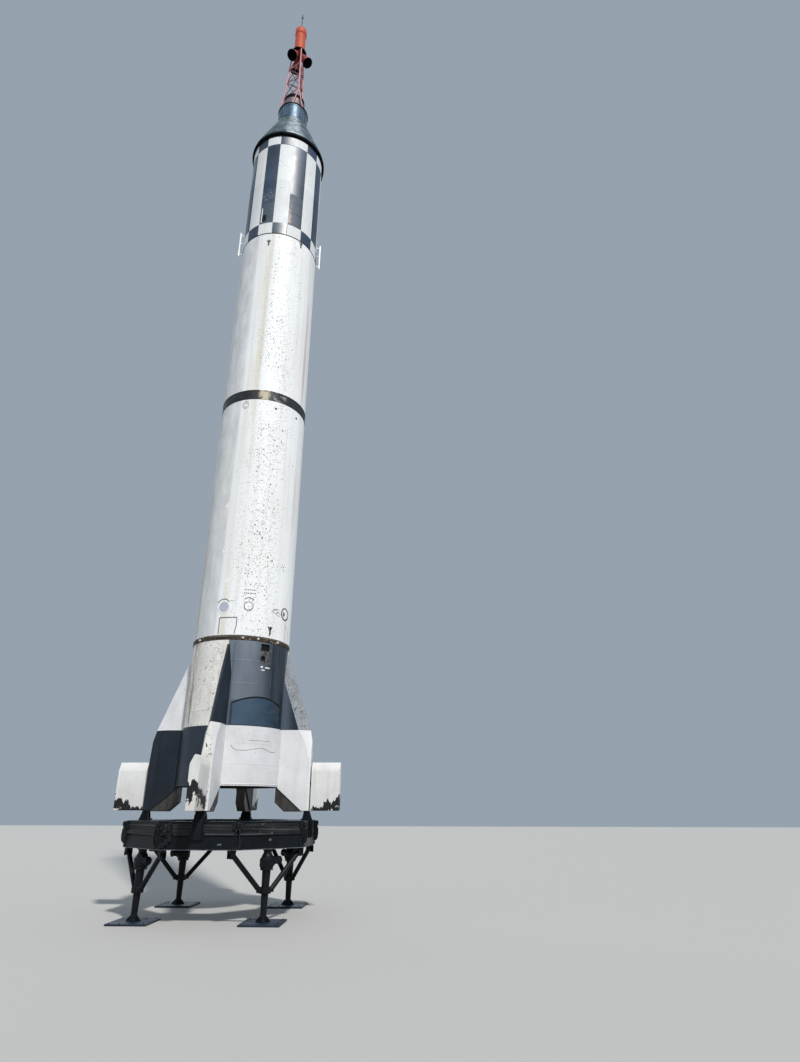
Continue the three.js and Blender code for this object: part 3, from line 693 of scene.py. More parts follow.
shape = bmesh.new()
turned(shape, [(BODY - WALL, SKIRT_LOW), (BODY, SKIRT_LOW), *bead(1.978, 0.004), *bead(2.3, 0.0015),
               (BODY, SPLIT), *bead(3.17, 0.0025), *bead(3.62, 0.0015), *bead(4.02, 0.0015),
               (BODY, TAIL_RING - GAP), (BODY - WALL, TAIL_RING - GAP)], SIDES, closed=True,
       finish=lambda p: quarter_paint(p) if hypot(p.x, p.y) > BODY - 0.002 else 2)
tail = formed("tail_shell", shape, [tail_white, tail_black, inside_dark], crease=8)
for left, right, low, high in OPENINGS:
    shape = bmesh.new()
    half = radians(right - left) / 2 * BODY
    block(shape, (-0.025, 0.05), (-half, half), (low, high), on_axis((left + right) / 2, BODY))
    cutter = formed("cutter", shape, [seam_dark])
    opening = tail.modifiers.new("opening", "BOOLEAN")
    opening.operation = "DIFFERENCE"
    opening.object = cutter
    opening.material_mode = "TRANSFER"
    holed = bpy.data.meshes.new_from_object(tail.evaluated_get(bpy.context.evaluated_depsgraph_get()))
    tail.modifiers.remove(opening)
    tail.data = holed
    bpy.data.objects.remove(cutter)
tail.data.set_sharp_from_angle(angle=radians(8))
settle(tail, "tail_skirt")

# covers: the arched one, a long low one, three access covers, three pale marks under the open hatch
# without text, and a root strip on both sides of each fin, grey as a painted sheen on the black quarters
ARCH = (-79.6, -16.5, 2.925, 3.285)


def arch_rise(share):
    return 0.115 * (1 - (2 * share - 1) ** 2)


def on_body(azimuth, height, proud=0.0):
    return on_axis(azimuth, BODY + proud, height) @ Vector()


def marked(*points, proud=0.0005):
    """A line drawn on the body's wall through (azimuth, height) points."""
    return [on_body(azimuth, height, proud) for azimuth, height in points]


shape = bmesh.new()
cover_plate(shape, *ARCH, 0.003, 0.01, finish=2, columns=48, arch=arch_rise)
cover_plate(shape, -74, -26, 2.62, 2.8, 0.002, 0.03, columns=36)
for left, right, low, high in ((20, 42, 3.3, 3.75), (118, 148, 2.3, 2.75), (200, 224, 3.35, 3.7)):
    cover_plate(shape, left, right, low, high, 0.003, 0.03)
for left, right, low, high in ((-51.3, -48.2, 3.918, 3.948), (-45.4, -39, 3.915, 3.938),
                               (-50.2, -45.4, 3.87, 3.888)):
    cover_plate(shape, left, right, low, high, 0.0015, 0.008, finish=4, columns=8)
for azimuth in FINS:
    for left in (azimuth + 6.5, azimuth - 8.6):
        for low, high in ((1.992, SPLIT - 0.002), (SPLIT + 0.002, 4.33)):
            # strips on a black quarter take the painted sheen grey
            coat = 3 if quarter_paint(on_body(left + 1, (low + high) / 2)) else 0
            cover_plate(shape, left, left + 1.9, low, high, 0.006, 0.006, finish=coat, columns=6)
paints = [tail_white, tail_black, hatch_teal, root_strip_sheen, tank_white]
finished("tail_covers", shape, paints, crease=20)
left, right, low, high = ARCH
arch_line = marked(*[(left + (right - left) * k / 32, high + arch_rise(k / 32)) for k in range(33)],
                   proud=0.002)
# the arch's top edge is a thick dark bead: its seam, widened by a painted shadow along it
pipes("arch_seam_and_shadow", [arch_line], 0.0115, seam_dark, sides=10)
arch_ends = [marked(*[(left + 0.4, low + 0.04 * k) for k in range(9)]),
             marked(*[(right, high - 0.06 * k) for k in range(6)], proud=0)]
pipes("arch_sides", arch_ends, 0.005, seam_dark, sides=8)
WAVE = [(-76.3, 2.587), (-74.6, 2.545), (-70.5, 2.511), (-63, 2.509), (-57.6, 2.516), (-49.6, 2.541),
        (-41, 2.561), (-35, 2.536), (-30, 2.508), (-24, 2.505), (-19, 2.518)]
fold_line = marked(*[(azimuth, 2.675) for azimuth in range(-58, -29, 2)])
pipes("wave_seam", [marked(*WAVE), fold_line], 0.0042, seam_pale, sides=8)
seats = []
for height, count in ((1.965, 96), (SPLIT + 0.02, 120), (3.155, 120), (3.185, 120), (4.355, 96)):
    seats += round_row(BODY - 0.001, height, count, 1.2)
for name, coat in (("tail_rivets", tail_white), ("black_rivets", tail_black)):
    chosen = [s for s in seats if (azimuth_of(Vector(s[0])) // 90 == 3) == (coat is tail_black)]
    fasteners(name, chosen, 0.005, 0.003, coat)

RING = BODY + 0.006
rows = steps(RING, TAIL_RING, (-0.004, 0), (0, 0.004), (0, 0.03), (-0.005, 0.034), (-0.005, 0.052),
             (0, 0.056))
rows += steps(RING, TANK_LOW, (0, -0.005), (-0.004, -GAP))
olive_above = TAIL_RING + 0.054
spun("tail_joint", rows, [ring_rust, ring_olive], "tail_ring",
     finish=lambda p: int(p.z > olive_above))
seats = round_row(RING - 0.002, TAIL_RING + 0.017, 72) + round_row(RING - 0.002, TAIL_RING + 0.072, 72, 2.5)
fasteners("tail_joint_bolts", seats, 0.007, 0.006, ring_rust, sides=6)
seats = []
for azimuth in (-74.5, -57, -30, 20, 75, 130, 185, 228):
    seats += round_row(RING - 0.004, TAIL_RING + 0.04, 1, azimuth)
fasteners("tail_joint_caps", seats, 0.024, 0.022, bolt_pale, sides=14)

# Engine: a welded steel combustion chamber that hangs in the tail, with a banded bell below it and
# feed pipes down its sides.
ENGINE_TOP = TAIL_RING - GAP
THROAT = 2.9
engine_steel = paint("engine_steel", "6a6864 4d4a46 7a5a42 2c2a28", rough=0.45, metal=0.75, mottle=(5, 0.8),
                     streak=(14, 0.5), chips=(40, 0.66))
CHAMBER = [(0.2, THROAT), (0.235, 2.97), (0.3, 3.1), (0.325, 3.22), (0.33, 3.24), (0.33, 3.27),
           (0.32, 3.285), (0.32, 3.62), (0.33, 3.63), (0.33, 3.67), (0.3, 3.69), (0.22, 3.76), (0.19, 3.9),
           (0.19, 4.05), (0.25, 4.08), (0.28, 4.2), (0.28, 4.3), (0.33, 4.32), (0.33, ENGINE_TOP)]
spun("thrust_chamber", CHAMBER, [engine_steel], "engine_block", crease=30, sides=64)
BELL = [(0.37, 2.25), (0.374, 2.27), (0.366, 2.29), (0.335, 2.42), (0.265, 2.65), (0.215, 2.82),
        (0.19, THROAT - GAP)]
shape = bmesh.new()
turned(shape, BELL + [(r - 0.02, z) for r, z in BELL[::-1]], 64, closed=True)
for r, z in ((0.338, 2.4), (0.304, 2.52), (0.268, 2.64), (0.236, 2.75)):
    turned(shape, steps(r, z, (0, -0.008), (0.012, 0), (0, 0.008), (-0.012, 0)), 64, closed=True)
finished("exhaust_bell", shape, [engine_steel], "engine_nozzle", crease=40)
FEED = [(0.3, 4.25), (0.4, 4.1), (0.42, 3.6), (0.42, 3.1), (0.36, 2.86), (0.24, 2.78)]
feeds = [[on_axis(azimuth, r, z) @ Vector() for r, z in FEED] for azimuth in (25, 115, 205, 295)]
pipes("feed_pipes", feeds, 0.028, engine_steel)

# Fins: four thick fins of riveted sheet metal with a bevelled front edge. Each side follows the
# colour of the quarter of the tail that it faces, and the paint of the edges is stained cream.
FIN_HALF = 0.1
FIN_TIP = 1.447
FIN_LEVELS = [(1.57, FIN_TIP, 0.02, 0.085), (2.36, FIN_TIP, 0.02, 0.085), (2.714, FIN_TIP, 0.12, 0.045),
              (SPLIT, 1.41, 0.21, 0.015), (4.345, BODY, 0.21, 0.015)]
FIN_HEEL = (1.32, 1.57)
FIN_ROOT = (BODY, 1.93)
FIN_HEIGHTS = [1.57, 1.75, 1.93, 2.15, 2.36, 2.53, 2.714, SPLIT, 3.2, 3.5, 3.8, 4.1, 4.3]
EDGE_SIDES = {0: -1, 90: 1, 180: 1, 270: 1}  # the side whose colour goes round each fin's front edge


def root_at(height):
    """Radius of the fin's inner edge: the slanted rear edge below, the body's wall above."""
    if height >= FIN_ROOT[1]:
        return sqrt((BODY + GAP) ** 2 - FIN_HALF**2)
    return FIN_HEEL[0] + (FIN_ROOT[0] - FIN_HEEL[0]) * (height - FIN_HEEL[1]) / (FIN_ROOT[1] - FIN_HEEL[1])


def fin_level(height):
    """Tip radius, bevel and half nose of the fin at a height, between the levels that the drawing gives."""
    for one, two in zip(FIN_LEVELS, FIN_LEVELS[1:]):
        if height <= two[0]:
            share = (height - one[0]) / (two[0] - one[0])
            return [p + (q - p) * share for p, q in zip(one[1:], two[1:])]
    return FIN_LEVELS[-1][1:]


def sheen_by_root(place, cover, gloss):
    """The black fin on the right has a painted sheen next to its root."""
    pale = ramp(part_of(place, "X"), 1.1, 0.95, 0, 0.6)
    return over(cover, "5d6a79", pale, near_front(place, -5, 14, 0.8)), gloss


fin_white = paint("fin_white", "e1e1e3 cfcfd0 bfbcb6 6e675a", rough=0.55, mottle=(2.2, 0.7),
                  streak=(16, 0.25), chips=(30, 0.66), grain=(90, 0.1), shine=0.3)
fin_worn = paint("fin_worn", "9298a0 7b8187 7d7261 4f4538", rough=0.55, mottle=(5, 0.8), streak=(18, 0.5),
                 chips=(34, 0.57), grain=(80, 0.25), shine=0.3)
fin_black = paint("fin_black", "131b25 1f2b38 0b0e13 6f7278", mottle=(1.1, 0.9), streak=(8, 0.6),
                  chips=(30, 0.7), grain=(90, 0.08), shine=0.35, more=sheen_by_root)
fin_cream = paint("fin_cream", "e8e6e2 d2cec6 a89c8a 4d4438", rough=0.55, mottle=(5, 0.9), streak=(14, 0.6),
                  chips=(24, 0.59), grain=(80, 0.2), shine=0.35)
rivets = []
for height in [1.66 + 0.06 * k for k in range(44)]:
    tip, bevel, nose = fin_level(height)
    inner = max(root_at(height) + 0.03, 0.93)
    rivets += [(x, height) for x in (inner, tip - bevel - 0.025) if tip - bevel - 0.02 > inner]
rivets += [(0.95 + 0.05 * k, SPLIT - 0.03) for k in range(5)] + [(0.95 + 0.05 * k, 2.33) for k in range(10)]
paints = [fin_white, fin_black, fin_worn, fin_cream]
seats = [[], []]
for number, azimuth in enumerate(FINS, 1):
    fin = on_axis(azimuth)
    shape = bmesh.new()
    levels = []
    for height in FIN_HEIGHTS:
        tip, bevel, nose = fin_level(height)
        root = min(root_at(height), tip - bevel - 0.004)
        wall = BODY + GAP if height >= FIN_ROOT[1] else root
        front = tip - bevel
        levels.append((height, [(root, -FIN_HALF), (front, -FIN_HALF), (tip, -nose), (tip, nose),
                                (front, FIN_HALF), (root, FIN_HALF), (wall, 0)]))
    stacked(shape, levels, fin)
    for count, face in enumerate(list(shape.faces)[2:]):
        p = face.calc_center_median()
        k = count % 7
        if k in (1, 2, 3):  # the front edge and the bevels on both sides of it
            p = fin @ Vector((1, FIN_HALF * EDGE_SIDES[azimuth], p.z))
        face.material_index = quarter_paint(p)
        if k in (1, 2, 3) and azimuth == 0 and p.z > SPLIT:
            face.material_index = 2
        elif k == 2 and face.material_index == 0:
            face.material_index = 3
    finished(f"fin_blade_{number}", shape, paints, f"fin_{number}", edge=0.004, crease=12)
    for side in (-1, 1):
        for x, z in rivets:
            point, way = seat(fin, x, side * (FIN_HALF - 0.001), z, (0, side, 0))
            seats[quarter_paint(point)].append((point, way))
fasteners("fin_rivets_white", seats[0], 0.0045, 0.0025, fin_white)
fasteners("fin_rivets_black", seats[1], 0.0045, 0.0025, fin_black)

# Air rudders: blunt wedges of screwed sheet metal, each on a shaft out of its fin's tip. Their
# lower outer corner is worn through black undercoat to the primer.
RUDDER_OUTLINE = [(1.47, -1), (1.975, -1), (1.975, 1), (1.47, 1)]  # in half thicknesses across
RUDDER_LEVELS = [(1.57, 0.07), (1.8, 0.0745), (2.2, 0.08), (2.24, 0.073), (2.345, 0.0235), (2.36, 0.014)]
RUDDER_SHAFT = 2.01
SHAFT = [(0.045, FIN_TIP + GAP), (0.045, FIN_TIP + 0.008), (0.028, FIN_TIP + 0.01), (0.028, 1.5)]
WORN_SLOPE = 0.43


def worn_corner(place, cover, gloss):
    """Black undercoat below a jagged slanted line, and bare primer in its lowest outer part. The
    rudder at the front is worn the most."""
    reach = node(place, "ShaderNodeVectorMath", {0: level(place)}, operation="LENGTH").outputs["Value"]
    line = sums("MULTIPLY_ADD", reach, WORN_SLOPE, 1.568 - 1.47 * WORN_SLOPE)
    line = sums("MULTIPLY_ADD", near_front(place, -90, 40), 0.16, line)
    ragged = ramp(noise(place, 16, 6, (1, 1, 0.3)), 0.36, 0.64, -0.05, 0.07)
    below = sums("SUBTRACT", sums("ADD", line, ragged), part_of(place, "Z"))
    patch = ramp(noise(place, 15, 5), 0.36, 0.64, -0.09, 0.09)
    under = over(tint("17171a"), "cfccc4", ramp(sums("ADD", below, patch), 0.19, 0.205))
    return mixed(ramp(below, 0.0, 0.006), cover, under), gloss


rudder_white = paint("rudder_white", "dddddc cbc9c5 b3ac9f 6e675a", rough=0.55, mottle=(2.5, 0.7),
                     streak=(14, 0.35), chips=(30, 0.68), grain=(90, 0.1), shine=0.35, more=worn_corner)
screws = [(1.5 + 0.05 * k, 0.0705, 1.6) for k in range(10)]
screws += [(x, 0.0695 + 0.01588 * (0.09 + 0.06 * k), 1.66 + 0.06 * k)
           for x in (1.5, 1.945) for k in range(9)]
screws += [(1.55 + 0.05 * k, 0.0785, 2.17) for k in range(8)]
for number, azimuth in enumerate(FINS, 1):
    fin = on_axis(azimuth)
    rudder = f"air_rudder_{number}"
    shape = bmesh.new()
    stacked(shape, [(z, [(x, y * half) for x, y in RUDDER_OUTLINE]) for z, half in RUDDER_LEVELS], fin)
    turned(shape, SHAFT, 28, on_axis(azimuth, 0, RUDDER_SHAFT) @ OUTWARD, finish=1)
    paints = [rudder_white, shoe_metal]
    finished(f"rudder_blade_{number}", shape, paints, f"rudder_{number}", rudder, edge=0.004,
             crease=25)
    seats = [seat(fin, x, side * y, z, (0, side, 0)) for side in (-1, 1) for x, y, z in screws]
    fasteners(f"rudder_screws_{number}", seats, 0.0045, 0.0028, rudder_white, body=rudder)

# Jet vanes: small carbon blades that stand in the exhaust, each on a shaft through the tail's wall
# and turned together with its air rudder.
VANE_SHAFT = 2.08
VANE = [(-0.11, -0.012), (0.06, -0.015), (0.11, 0), (0.06, 0.015), (-0.11, 0.012)]
VANE_ARM = [(0.024, 0.33), (0.024, 0.42), (0.018, 0.425), (0.018, 0.8), (0.032, 0.805), (0.032, 0.8578)]
INWARD = Matrix.Rotation(-pi / 2, 4, "Y")  # X runs up and Z towards the rocket's axis
vane_black = paint("vane_carbon", "2b2b2d 3c3b3b 161617 5a5753", rough=0.6, mottle=(9, 0.8),
                   streak=(14, 0.4), chips=(50, 0.66), grain=(200, 0.3))
for number, azimuth in enumerate(FINS, 1):
    shaft = on_axis(azimuth, 0, VANE_SHAFT)
    shape = bmesh.new()
    slab(shape, VANE, -0.35, -0.12, shaft @ INWARD)
    turned(shape, VANE_ARM, 20, shaft @ OUTWARD, finish=1)
    vane = f"exhaust_vane_{number}"
    paints = [vane_black, shoe_metal]
    finished(f"vane_blade_{number}", shape, paints, f"jet_vane_{number}", vane, edge=0.003,
             crease=25)

# Propellant tanks: two long drums of welded sheet, sprayed white and weathered, joined by a dark
# bolted ring. Small ports, fittings and one bare frame sit low on the lower tank.
MID_RING = 9.47
UPPER_LOW = 9.7
AFT_BAND = 14.1
STRIPES = 14.46
TANKS = [("lower_tank", "lower_body", TANK_LOW, MID_RING - GAP, (4.62, 5.85, 7.3, 8.8)),
         ("upper_tank", "upper_body", UPPER_LOW, AFT_BAND - GAP, (10.2, 11.9, 13.6))]
for name, solid, low, high, seams in TANKS:
    rows = [row for height in seams for row in bead(height, 0.0014, 0.007)]
    spun(name, [(BODY, low), *rows, (BODY, high)], [tank_white], solid, crease=8)


def ring_highlight_and_scuffs(place, cover, gloss):
    """A cream painted highlight on the front of the ring, and grey scuffs right of it."""
    rub = noise(place, 9, 5)
    cover = over(cover, "c2b59c", near_front(place, -77, 9), ramp(rub, 0.4, 0.5))
    return over(cover, "84888c", near_front(place, -58, 16), ramp(rub, 0.52, 0.6)), gloss


ring_dark = paint("ring_dark", "23272c 35383b 17191b 8f9296", mottle=(5, 0.9), streak=(12, 0.5),
                  stretch=(1, 1, 1), chips=(30, 0.66), grain=(80, 0.25), shine=0.35, more=ring_highlight_and_scuffs)
rows = steps(RING, MID_RING, (-0.003, 0), (0, 0.004), (0, 0.03), (-0.004, 0.034))
rows += steps(RING, UPPER_LOW, (-0.004, -0.034), (0, -0.03), (0, -0.004), (-0.003, -GAP))
spun("tank_joint", rows, [ring_dark], "mid_ring")
seats = round_row(RING - 0.001, MID_RING + 0.017, 120)
seats += round_row(RING - 0.001, UPPER_LOW - 0.017, 120, 1.5)
fasteners("tank_joint_rivets", seats, 0.006, 0.004, ring_dark)

# ports: round glasses and covers, hooked cleats at both ends of the tanks, and small plugs
fitting_dark = paint("fitting_dark", "33322f 4c443a 6b5138 85806f", rough=0.55, metal=0.3, mottle=(16, 0.8),
                     chips=(60, 0.62), shine=0.3)
port_blue = paint("port_blue", "b9bcc9 a8abba cbccd2 8d8f97", mottle=(8, 0.8), streak=(12, 0.3))
shape = bmesh.new()


def port_ring(azimuth, height, radius, thick):
    """A thin raised ring on the body's wall."""
    rows = steps(radius, 0, (-thick, -0.004), (0, -0.004), (-0.002, 0.006), (0.002 - thick, 0.006))
    turned(shape, rows, 48, on_axis(azimuth, BODY, height) @ OUTWARD, closed=True)


def port_disc(azimuth, height, radius, proud, finish):
    rows = [(radius, -0.006), (radius - 0.002, proud)]
    turned(shape, rows, 40, on_axis(azimuth, BODY, height) @ OUTWARD, finish=finish)


for azimuth in (-100.6, 130):
    port_disc(azimuth, 4.99, 0.124, 0.002, 1)
    port_disc(azimuth, 4.99, 0.096, 0.0035, 2)
for azimuth in (-71.6, 40):
    port_ring(azimuth, 5.01, 0.086, 0.011)
    port_disc(azimuth, 5.01, 0.076, 0.002, 1)
for azimuth in (-19.5, 160):
    port_ring(azimuth, 5.0, 0.12, 0.02)
    port_disc(azimuth, 5.0, 0.1, 0.003, 1)
    port_disc(azimuth - 3.4, 4.99, 0.045, 0.005, 0)
CLEAT_ARM = [(0, 0.09), (0.016, 0.08), (0.052, 0.145), (0.038, 0.156)]
for azimuth, height in ((-43, 13.93), (-92.6, 13.74), (137, 4.55), (-43, 4.53)):
    wall = on_axis(azimuth, BODY, height)
    block(shape, (-0.006, 0.022), (-0.011, 0.011), (0, 0.15), wall)
    for side in (-1, 1):
        arm = [(side * x, z) for x, z in CLEAT_ARM][::side]
        slab(shape, arm, -0.022, 0.004, wall @ Matrix.Rotation(pi / 2, 4, "Z") @ STANDING)
for azimuth in (-26, -60, 75, 170):
    port_disc(azimuth, 9.3, 0.026, 0.004, 0)
finished("tank_fittings", shape, [fitting_dark, tank_white, port_blue], edge=0.0012,
         crease=30)


def rounds(azimuth, height, wide, tall, first=0, last=360):
    """An oval or an arc drawn on the body's wall."""
    turns = [radians(first + (last - first) * k / 28) for k in range(29)]
    return marked(*[(azimuth + wide * cos(a) / BODY * 180 / pi, height + tall * sin(a)) for a in turns])


# painted outlines: two empty frames, an oval over two small covers, an arc over each port
left, right, low, high = -104.4, -83.6, 4.49, 4.79
lines = [
    marked(*[(left + (right - left) * k / 12, high) for k in range(13)]), marked((left, low), (left, high)),
    marked((right - 1.5, low), (right, low + 0.15), (right, high)),
    rounds(-101.4, 5.0, 0.128, 0.14, 35, 150), rounds(-71.6, 5.02, 0.125, 0.15, 50, 130),
]
pipes("painted_frame", lines, 0.0065, fitting_dark, sides=8)
lines = [
    rounds(-36.4, 4.99, 0.055, 0.032), rounds(-32, 4.955, 0.05, 0.032),
    rounds(-34, 4.97, 0.12, 0.075, 60, 200), rounds(-101, 9.34, 0.07, 0.085),
    rounds(-101, 9.34, 0.045, 0.055, 20, 300), marked((-16.5, 4.5), (-16.5, 4.8), (-9, 4.7), (-9, 4.5)),
]
pipes("cover_outlines", lines, 0.0042, seam_pale, sides=8)


def on_wall(azimuth, height, sunk=0.0006):
    """The seat of one flat spot on the body's wall."""
    return round_row(BODY - sunk, height, 1, azimuth)


dashes = [one for height in (5.255, 5.32) for k in range(7) for one in on_wall(-77.5 + 2.1 * k, height)]
fasteners("port_dashes", dashes, 0.013, 0.0012, fitting_dark, sides=10)

# flaked spots: paint has come off in round flecks on the sunny side, some in a halo of fresh white
FLECKED = [(5.75, 8.9, -61, 13, 250), (6.42, 6.72, -64, 6, 26), (5.8, 6.02, -44, 13, 44),
           (5.5, 5.8, -75, 4, 10), (11.9, 13.5, -79, 3.5, 70), (10.2, 11.4, -65, 15, 150),
           (11.5, 11.8, -67, 4, 18), (10.95, 11.2, -73, 9, 26), (10.3, 10.46, -64, 5, 16),
           (12.3, 12.9, -38, 3, 22), (16.35, 16.85, -86, 2.5, 10), (15.9, 16.6, -35, 3, 12)]
SPOT_SIZES = {"small": 0.0072, "medium": 0.0108, "large": 0.0175}
flecks = random.Random(11)
spots = {kind: [] for kind in SPOT_SIZES}
halos = []
for low, high, middle, spread, count in FLECKED:
    for _ in range(count):
        azimuth = flecks.gauss(middle, spread)
        height = flecks.uniform(low, high)
        size = flecks.random()
        kind = "small" if size < 0.7 else "medium" if size < 0.95 else "large"
        spots[kind] += on_wall(azimuth, height)
        if kind == "large" and flecks.random() < 0.5:
            halos += on_wall(azimuth + 1, height + flecks.uniform(-0.02, 0.02), 0.0007)
for azimuth, height in ((-110.4, 7.05), (-93.6, 6.83), (-108, 6.1), (-101, 5.5)):
    halos += on_wall(azimuth, height, 0.0007)
    spots["medium"] += on_wall(azimuth - 0.8, height + 0.03)
    spots["small"] += on_wall(azimuth + 1.6, height - 0.05)
fleck_grey = paint("fleck_grey", "5c5a55 7a7872 403e3a 8f8b82", rough=0.7, mottle=(30, 0.8), shine=0.2)
fresh_white = paint("fresh_white", "f2f2ef e8e7e1 dcd9cf b9b5a9", mottle=(9, 0.5), shine=0.35)
for kind, radius in SPOT_SIZES.items():
    fasteners(f"flecks_{kind}", spots[kind], radius, 0.0014, fleck_grey, sides=7)
fasteners("fresh_halos", halos, 0.06, 0.0011, fresh_white, sides=12)

# Upper section: the unpressurised bay and adapter below the capsule, of painted sheet metal with
# screwed doors. Its long black and white chequer stripes run the other way round in the bands above
# and below them.
ADAPTER = 17.15
CAPSULE_RING = 17.465


def stripe(p, swapped=0):
    """1 for black and 0 for white, by 16 equal parts of the circle."""
    return (int(azimuth_of(p) // 22.5) + swapped) % 2


def scuffed(place, cover, gloss):
    """Grey rub marks and pinkish rust at the lower end of two black stripes."""
    height = part_of(place, "Z")
    rub = ramp(noise(place, 11, 6, (1, 1, 4)), 0.5, 0.62)
    band = times(ramp(height, 15.15, 15.25), ramp(height, 15.62, 15.5), near_front(place, -104, 14))
    cover = over(cover, "8d9298", rub, band, 0.8)
    cover = over(cover, "6b7780", ramp(height, 15.25, 15.05), near_front(place, -100, 18), 0.35)
    rust = times(ramp(height, 15.35, 14.8), near_front(place, -68, 7), ramp(noise(place, 12, 4), 0.4, 0.58))
    duller = times(ramp(height, 15.48, 15.44, 0, 0.22), near_front(place, -56, 13, 0.9))
    return over(cover, "b39a90", rust), sums("ADD", gloss, duller)


stripe_black = paint("stripe_black", "10243a 1c3c58 081220 8b9298", rough=0.4, mottle=(1.0, 0.9),
                     streak=(7, 0.5), chips=(36, 0.72), grain=(60, 0.05), shine=1.0, more=scuffed)
stripe_white = paint("stripe_white", "e6e8ea d8dadb d3ccb6 7c786f", rough=0.55, mottle=(1.2, 0.7),
                     streak=(8, 0.45), chips=(30, 0.68), grain=(60, 0.05), shine=0.2)
section_paints = [stripe_white, stripe_black, seam_dark]
rows = steps(RING, AFT_BAND, (-0.003, 0), (-0.003, 0.022), (0, 0.024))
rows += steps(RING, STRIPES, (0, -0.006), (-0.004, -GAP))
spun("aft_section_band", rows, section_paints, "aft_band", 8,
     finish=lambda p: 2 if p.z < AFT_BAND + 0.022 else stripe(p, 1))
rows = [(BODY, STRIPES), *bead(15.9, 0.001), (BODY, ADAPTER - GAP)]
spun("instrument_bay", rows, section_paints[:2], "instrument_body", 8, finish=stripe)
rows = steps(RING, ADAPTER, (-0.003, 0), (0, 0.004))
rows += steps(RING, CAPSULE_RING, (0, -0.03), (0.004, -0.012), (0.004, -GAP))
spun("capsule_adapter", rows, section_paints, "adapter_band", 8,
     finish=lambda p: 2 if p.z > CAPSULE_RING - 0.032 else stripe(p, 1))
shape = bmesh.new()
for low, high in ((14.48, 14.848), (14.866, 15.19), (15.208, 15.456), (15.474, 16.46)):
    for left, right in ((-67.3, -45.2), (112.7, 134.8)):
        cover_plate(shape, left, right, low, high, 0.0035, 0.012, finish=1)
cover_plate(shape, -22.0, -0.8, 15.0, 15.5, 0.0035, 0.03, finish=1)
cover_plate(shape, 202.9, 224.6, 15.6, 16.1, 0.0035, 0.03, finish=1)
cover_plate(shape, -110.2, -108.4, 14.5, 14.97, 0.004, 0.008, columns=8)
cover_plate(shape, -108.2, -101.5, 14.53, 14.74, 0.004, 0.03, finish=2, columns=12)
cover_plate(shape, -84, -77, 15.62, 15.66, 0.004, 0.01, columns=12)
finished("bay_doors", shape, section_paints, crease=30)
seats = []
for height in (14.52, 14.8, 14.855, 15.17, 15.225, 15.4):
    seats += round_row(BODY + 0.0025, height, 8, -66, -44.5)
seats += round_row(BODY - 0.001, ADAPTER - 0.02, 120, 1.5)
for height in (AFT_BAND + 0.05, STRIPES - 0.03):
    seats += round_row(RING - 0.001, height, 96, 1.9)
fasteners("bay_screws", seats, 0.0045, 0.0025, fitting_dark)

# Side antennas: two white-painted metal bars on opposite sides. Each stands off the body on three
# short turned legs, with a small pad on the bar over each of them.
BAR_LOW = 14.08
BAR_TOP = 14.83
antenna_white = paint("antenna_white", "f4f6f6 e6e9e9 d6d0c0 8b8880", mottle=(6, 0.5), streak=(20, 0.2))
for number, azimuth in enumerate((14.0625, 194.0625), 1):
    bar = on_axis(azimuth)
    shape = bmesh.new()
    block(shape, (0.966, 1.0), (-0.03, 0.03), (BAR_LOW, BAR_TOP), bar)
    for height, wall in ((BAR_LOW + 0.07, RING), (STRIPES + 0.03, BODY), (BAR_TOP - 0.07, BODY)):
        rows = [(0.03, wall - 0.001), (0.028, wall + 0.006), (0.016, wall + 0.01), (0.016, 0.97)]
        turned(shape, rows, 18, on_axis(azimuth, 0, height) @ OUTWARD)
        block(shape, (0.998, 1.004), (-0.02, 0.02), (height - 0.02, height + 0.02), bar)
    name = f"side_antenna_{number}"
    finished(name, shape, [antenna_white], f"antenna_bar_{number}", edge=0.004)

# Crew capsule: a blunt cone of dark ribbed metal shingles over its heat shield, held on the adapter
# by a bolted clamp ring, with the ribbed recovery section and the antenna can on top.
CAPSULE = 0.945
CONE_LOW = 17.58
RECOVERY_LOW = 18.945
RECOVERY = 0.4
CAN_LOW = 19.435
CAN_TOP = 20.04
CONE_FOOT = (CAPSULE - 0.025, CONE_LOW + 0.04)
CONE_NECK = (RECOVERY + 0.012, RECOVERY_LOW - 0.02)
TIERS = [(17.625, 18.015, 0.0), (18.03, 18.465, -0.004), (18.48, 18.9, -0.008)]  # low, high, set back
PANELS = 24
CAPSULE_SIDES = 96


def cone_radius(height):
    share = (height - CONE_FOOT[1]) / (CONE_NECK[1] - CONE_FOOT[1])
    return CONE_FOOT[0] + (CONE_NECK[0] - CONE_FOOT[0]) * share


def panel_tones_and_highlight(place, cover, gloss):
    """Each shingle has oxidised to its own tone, and a pale painted highlight runs down the side that faces
    the sun.
    """
    cells = node(place, "ShaderNodeTexVoronoi", {"Vector": place, "Scale": 4.2}).outputs["Color"]
    value = node(place, "ShaderNodeSeparateColor", {0: cells}).outputs[0]
    cover = over(cover, "738389", ramp(value, 0.1, 0.9, 0.0, 0.6))
    highlight_edge = ramp(noise(place, 8, 5, (1, 1, 0.3)), 0.38, 0.6, 0.2, 0.75)
    cover = over(cover, "b9c2c8", highlight_edge, near_front(place, -70, 17, 0.5))
    return cover, sums("ADD", gloss, ramp(value, 0, 1, -0.08, 0.1))


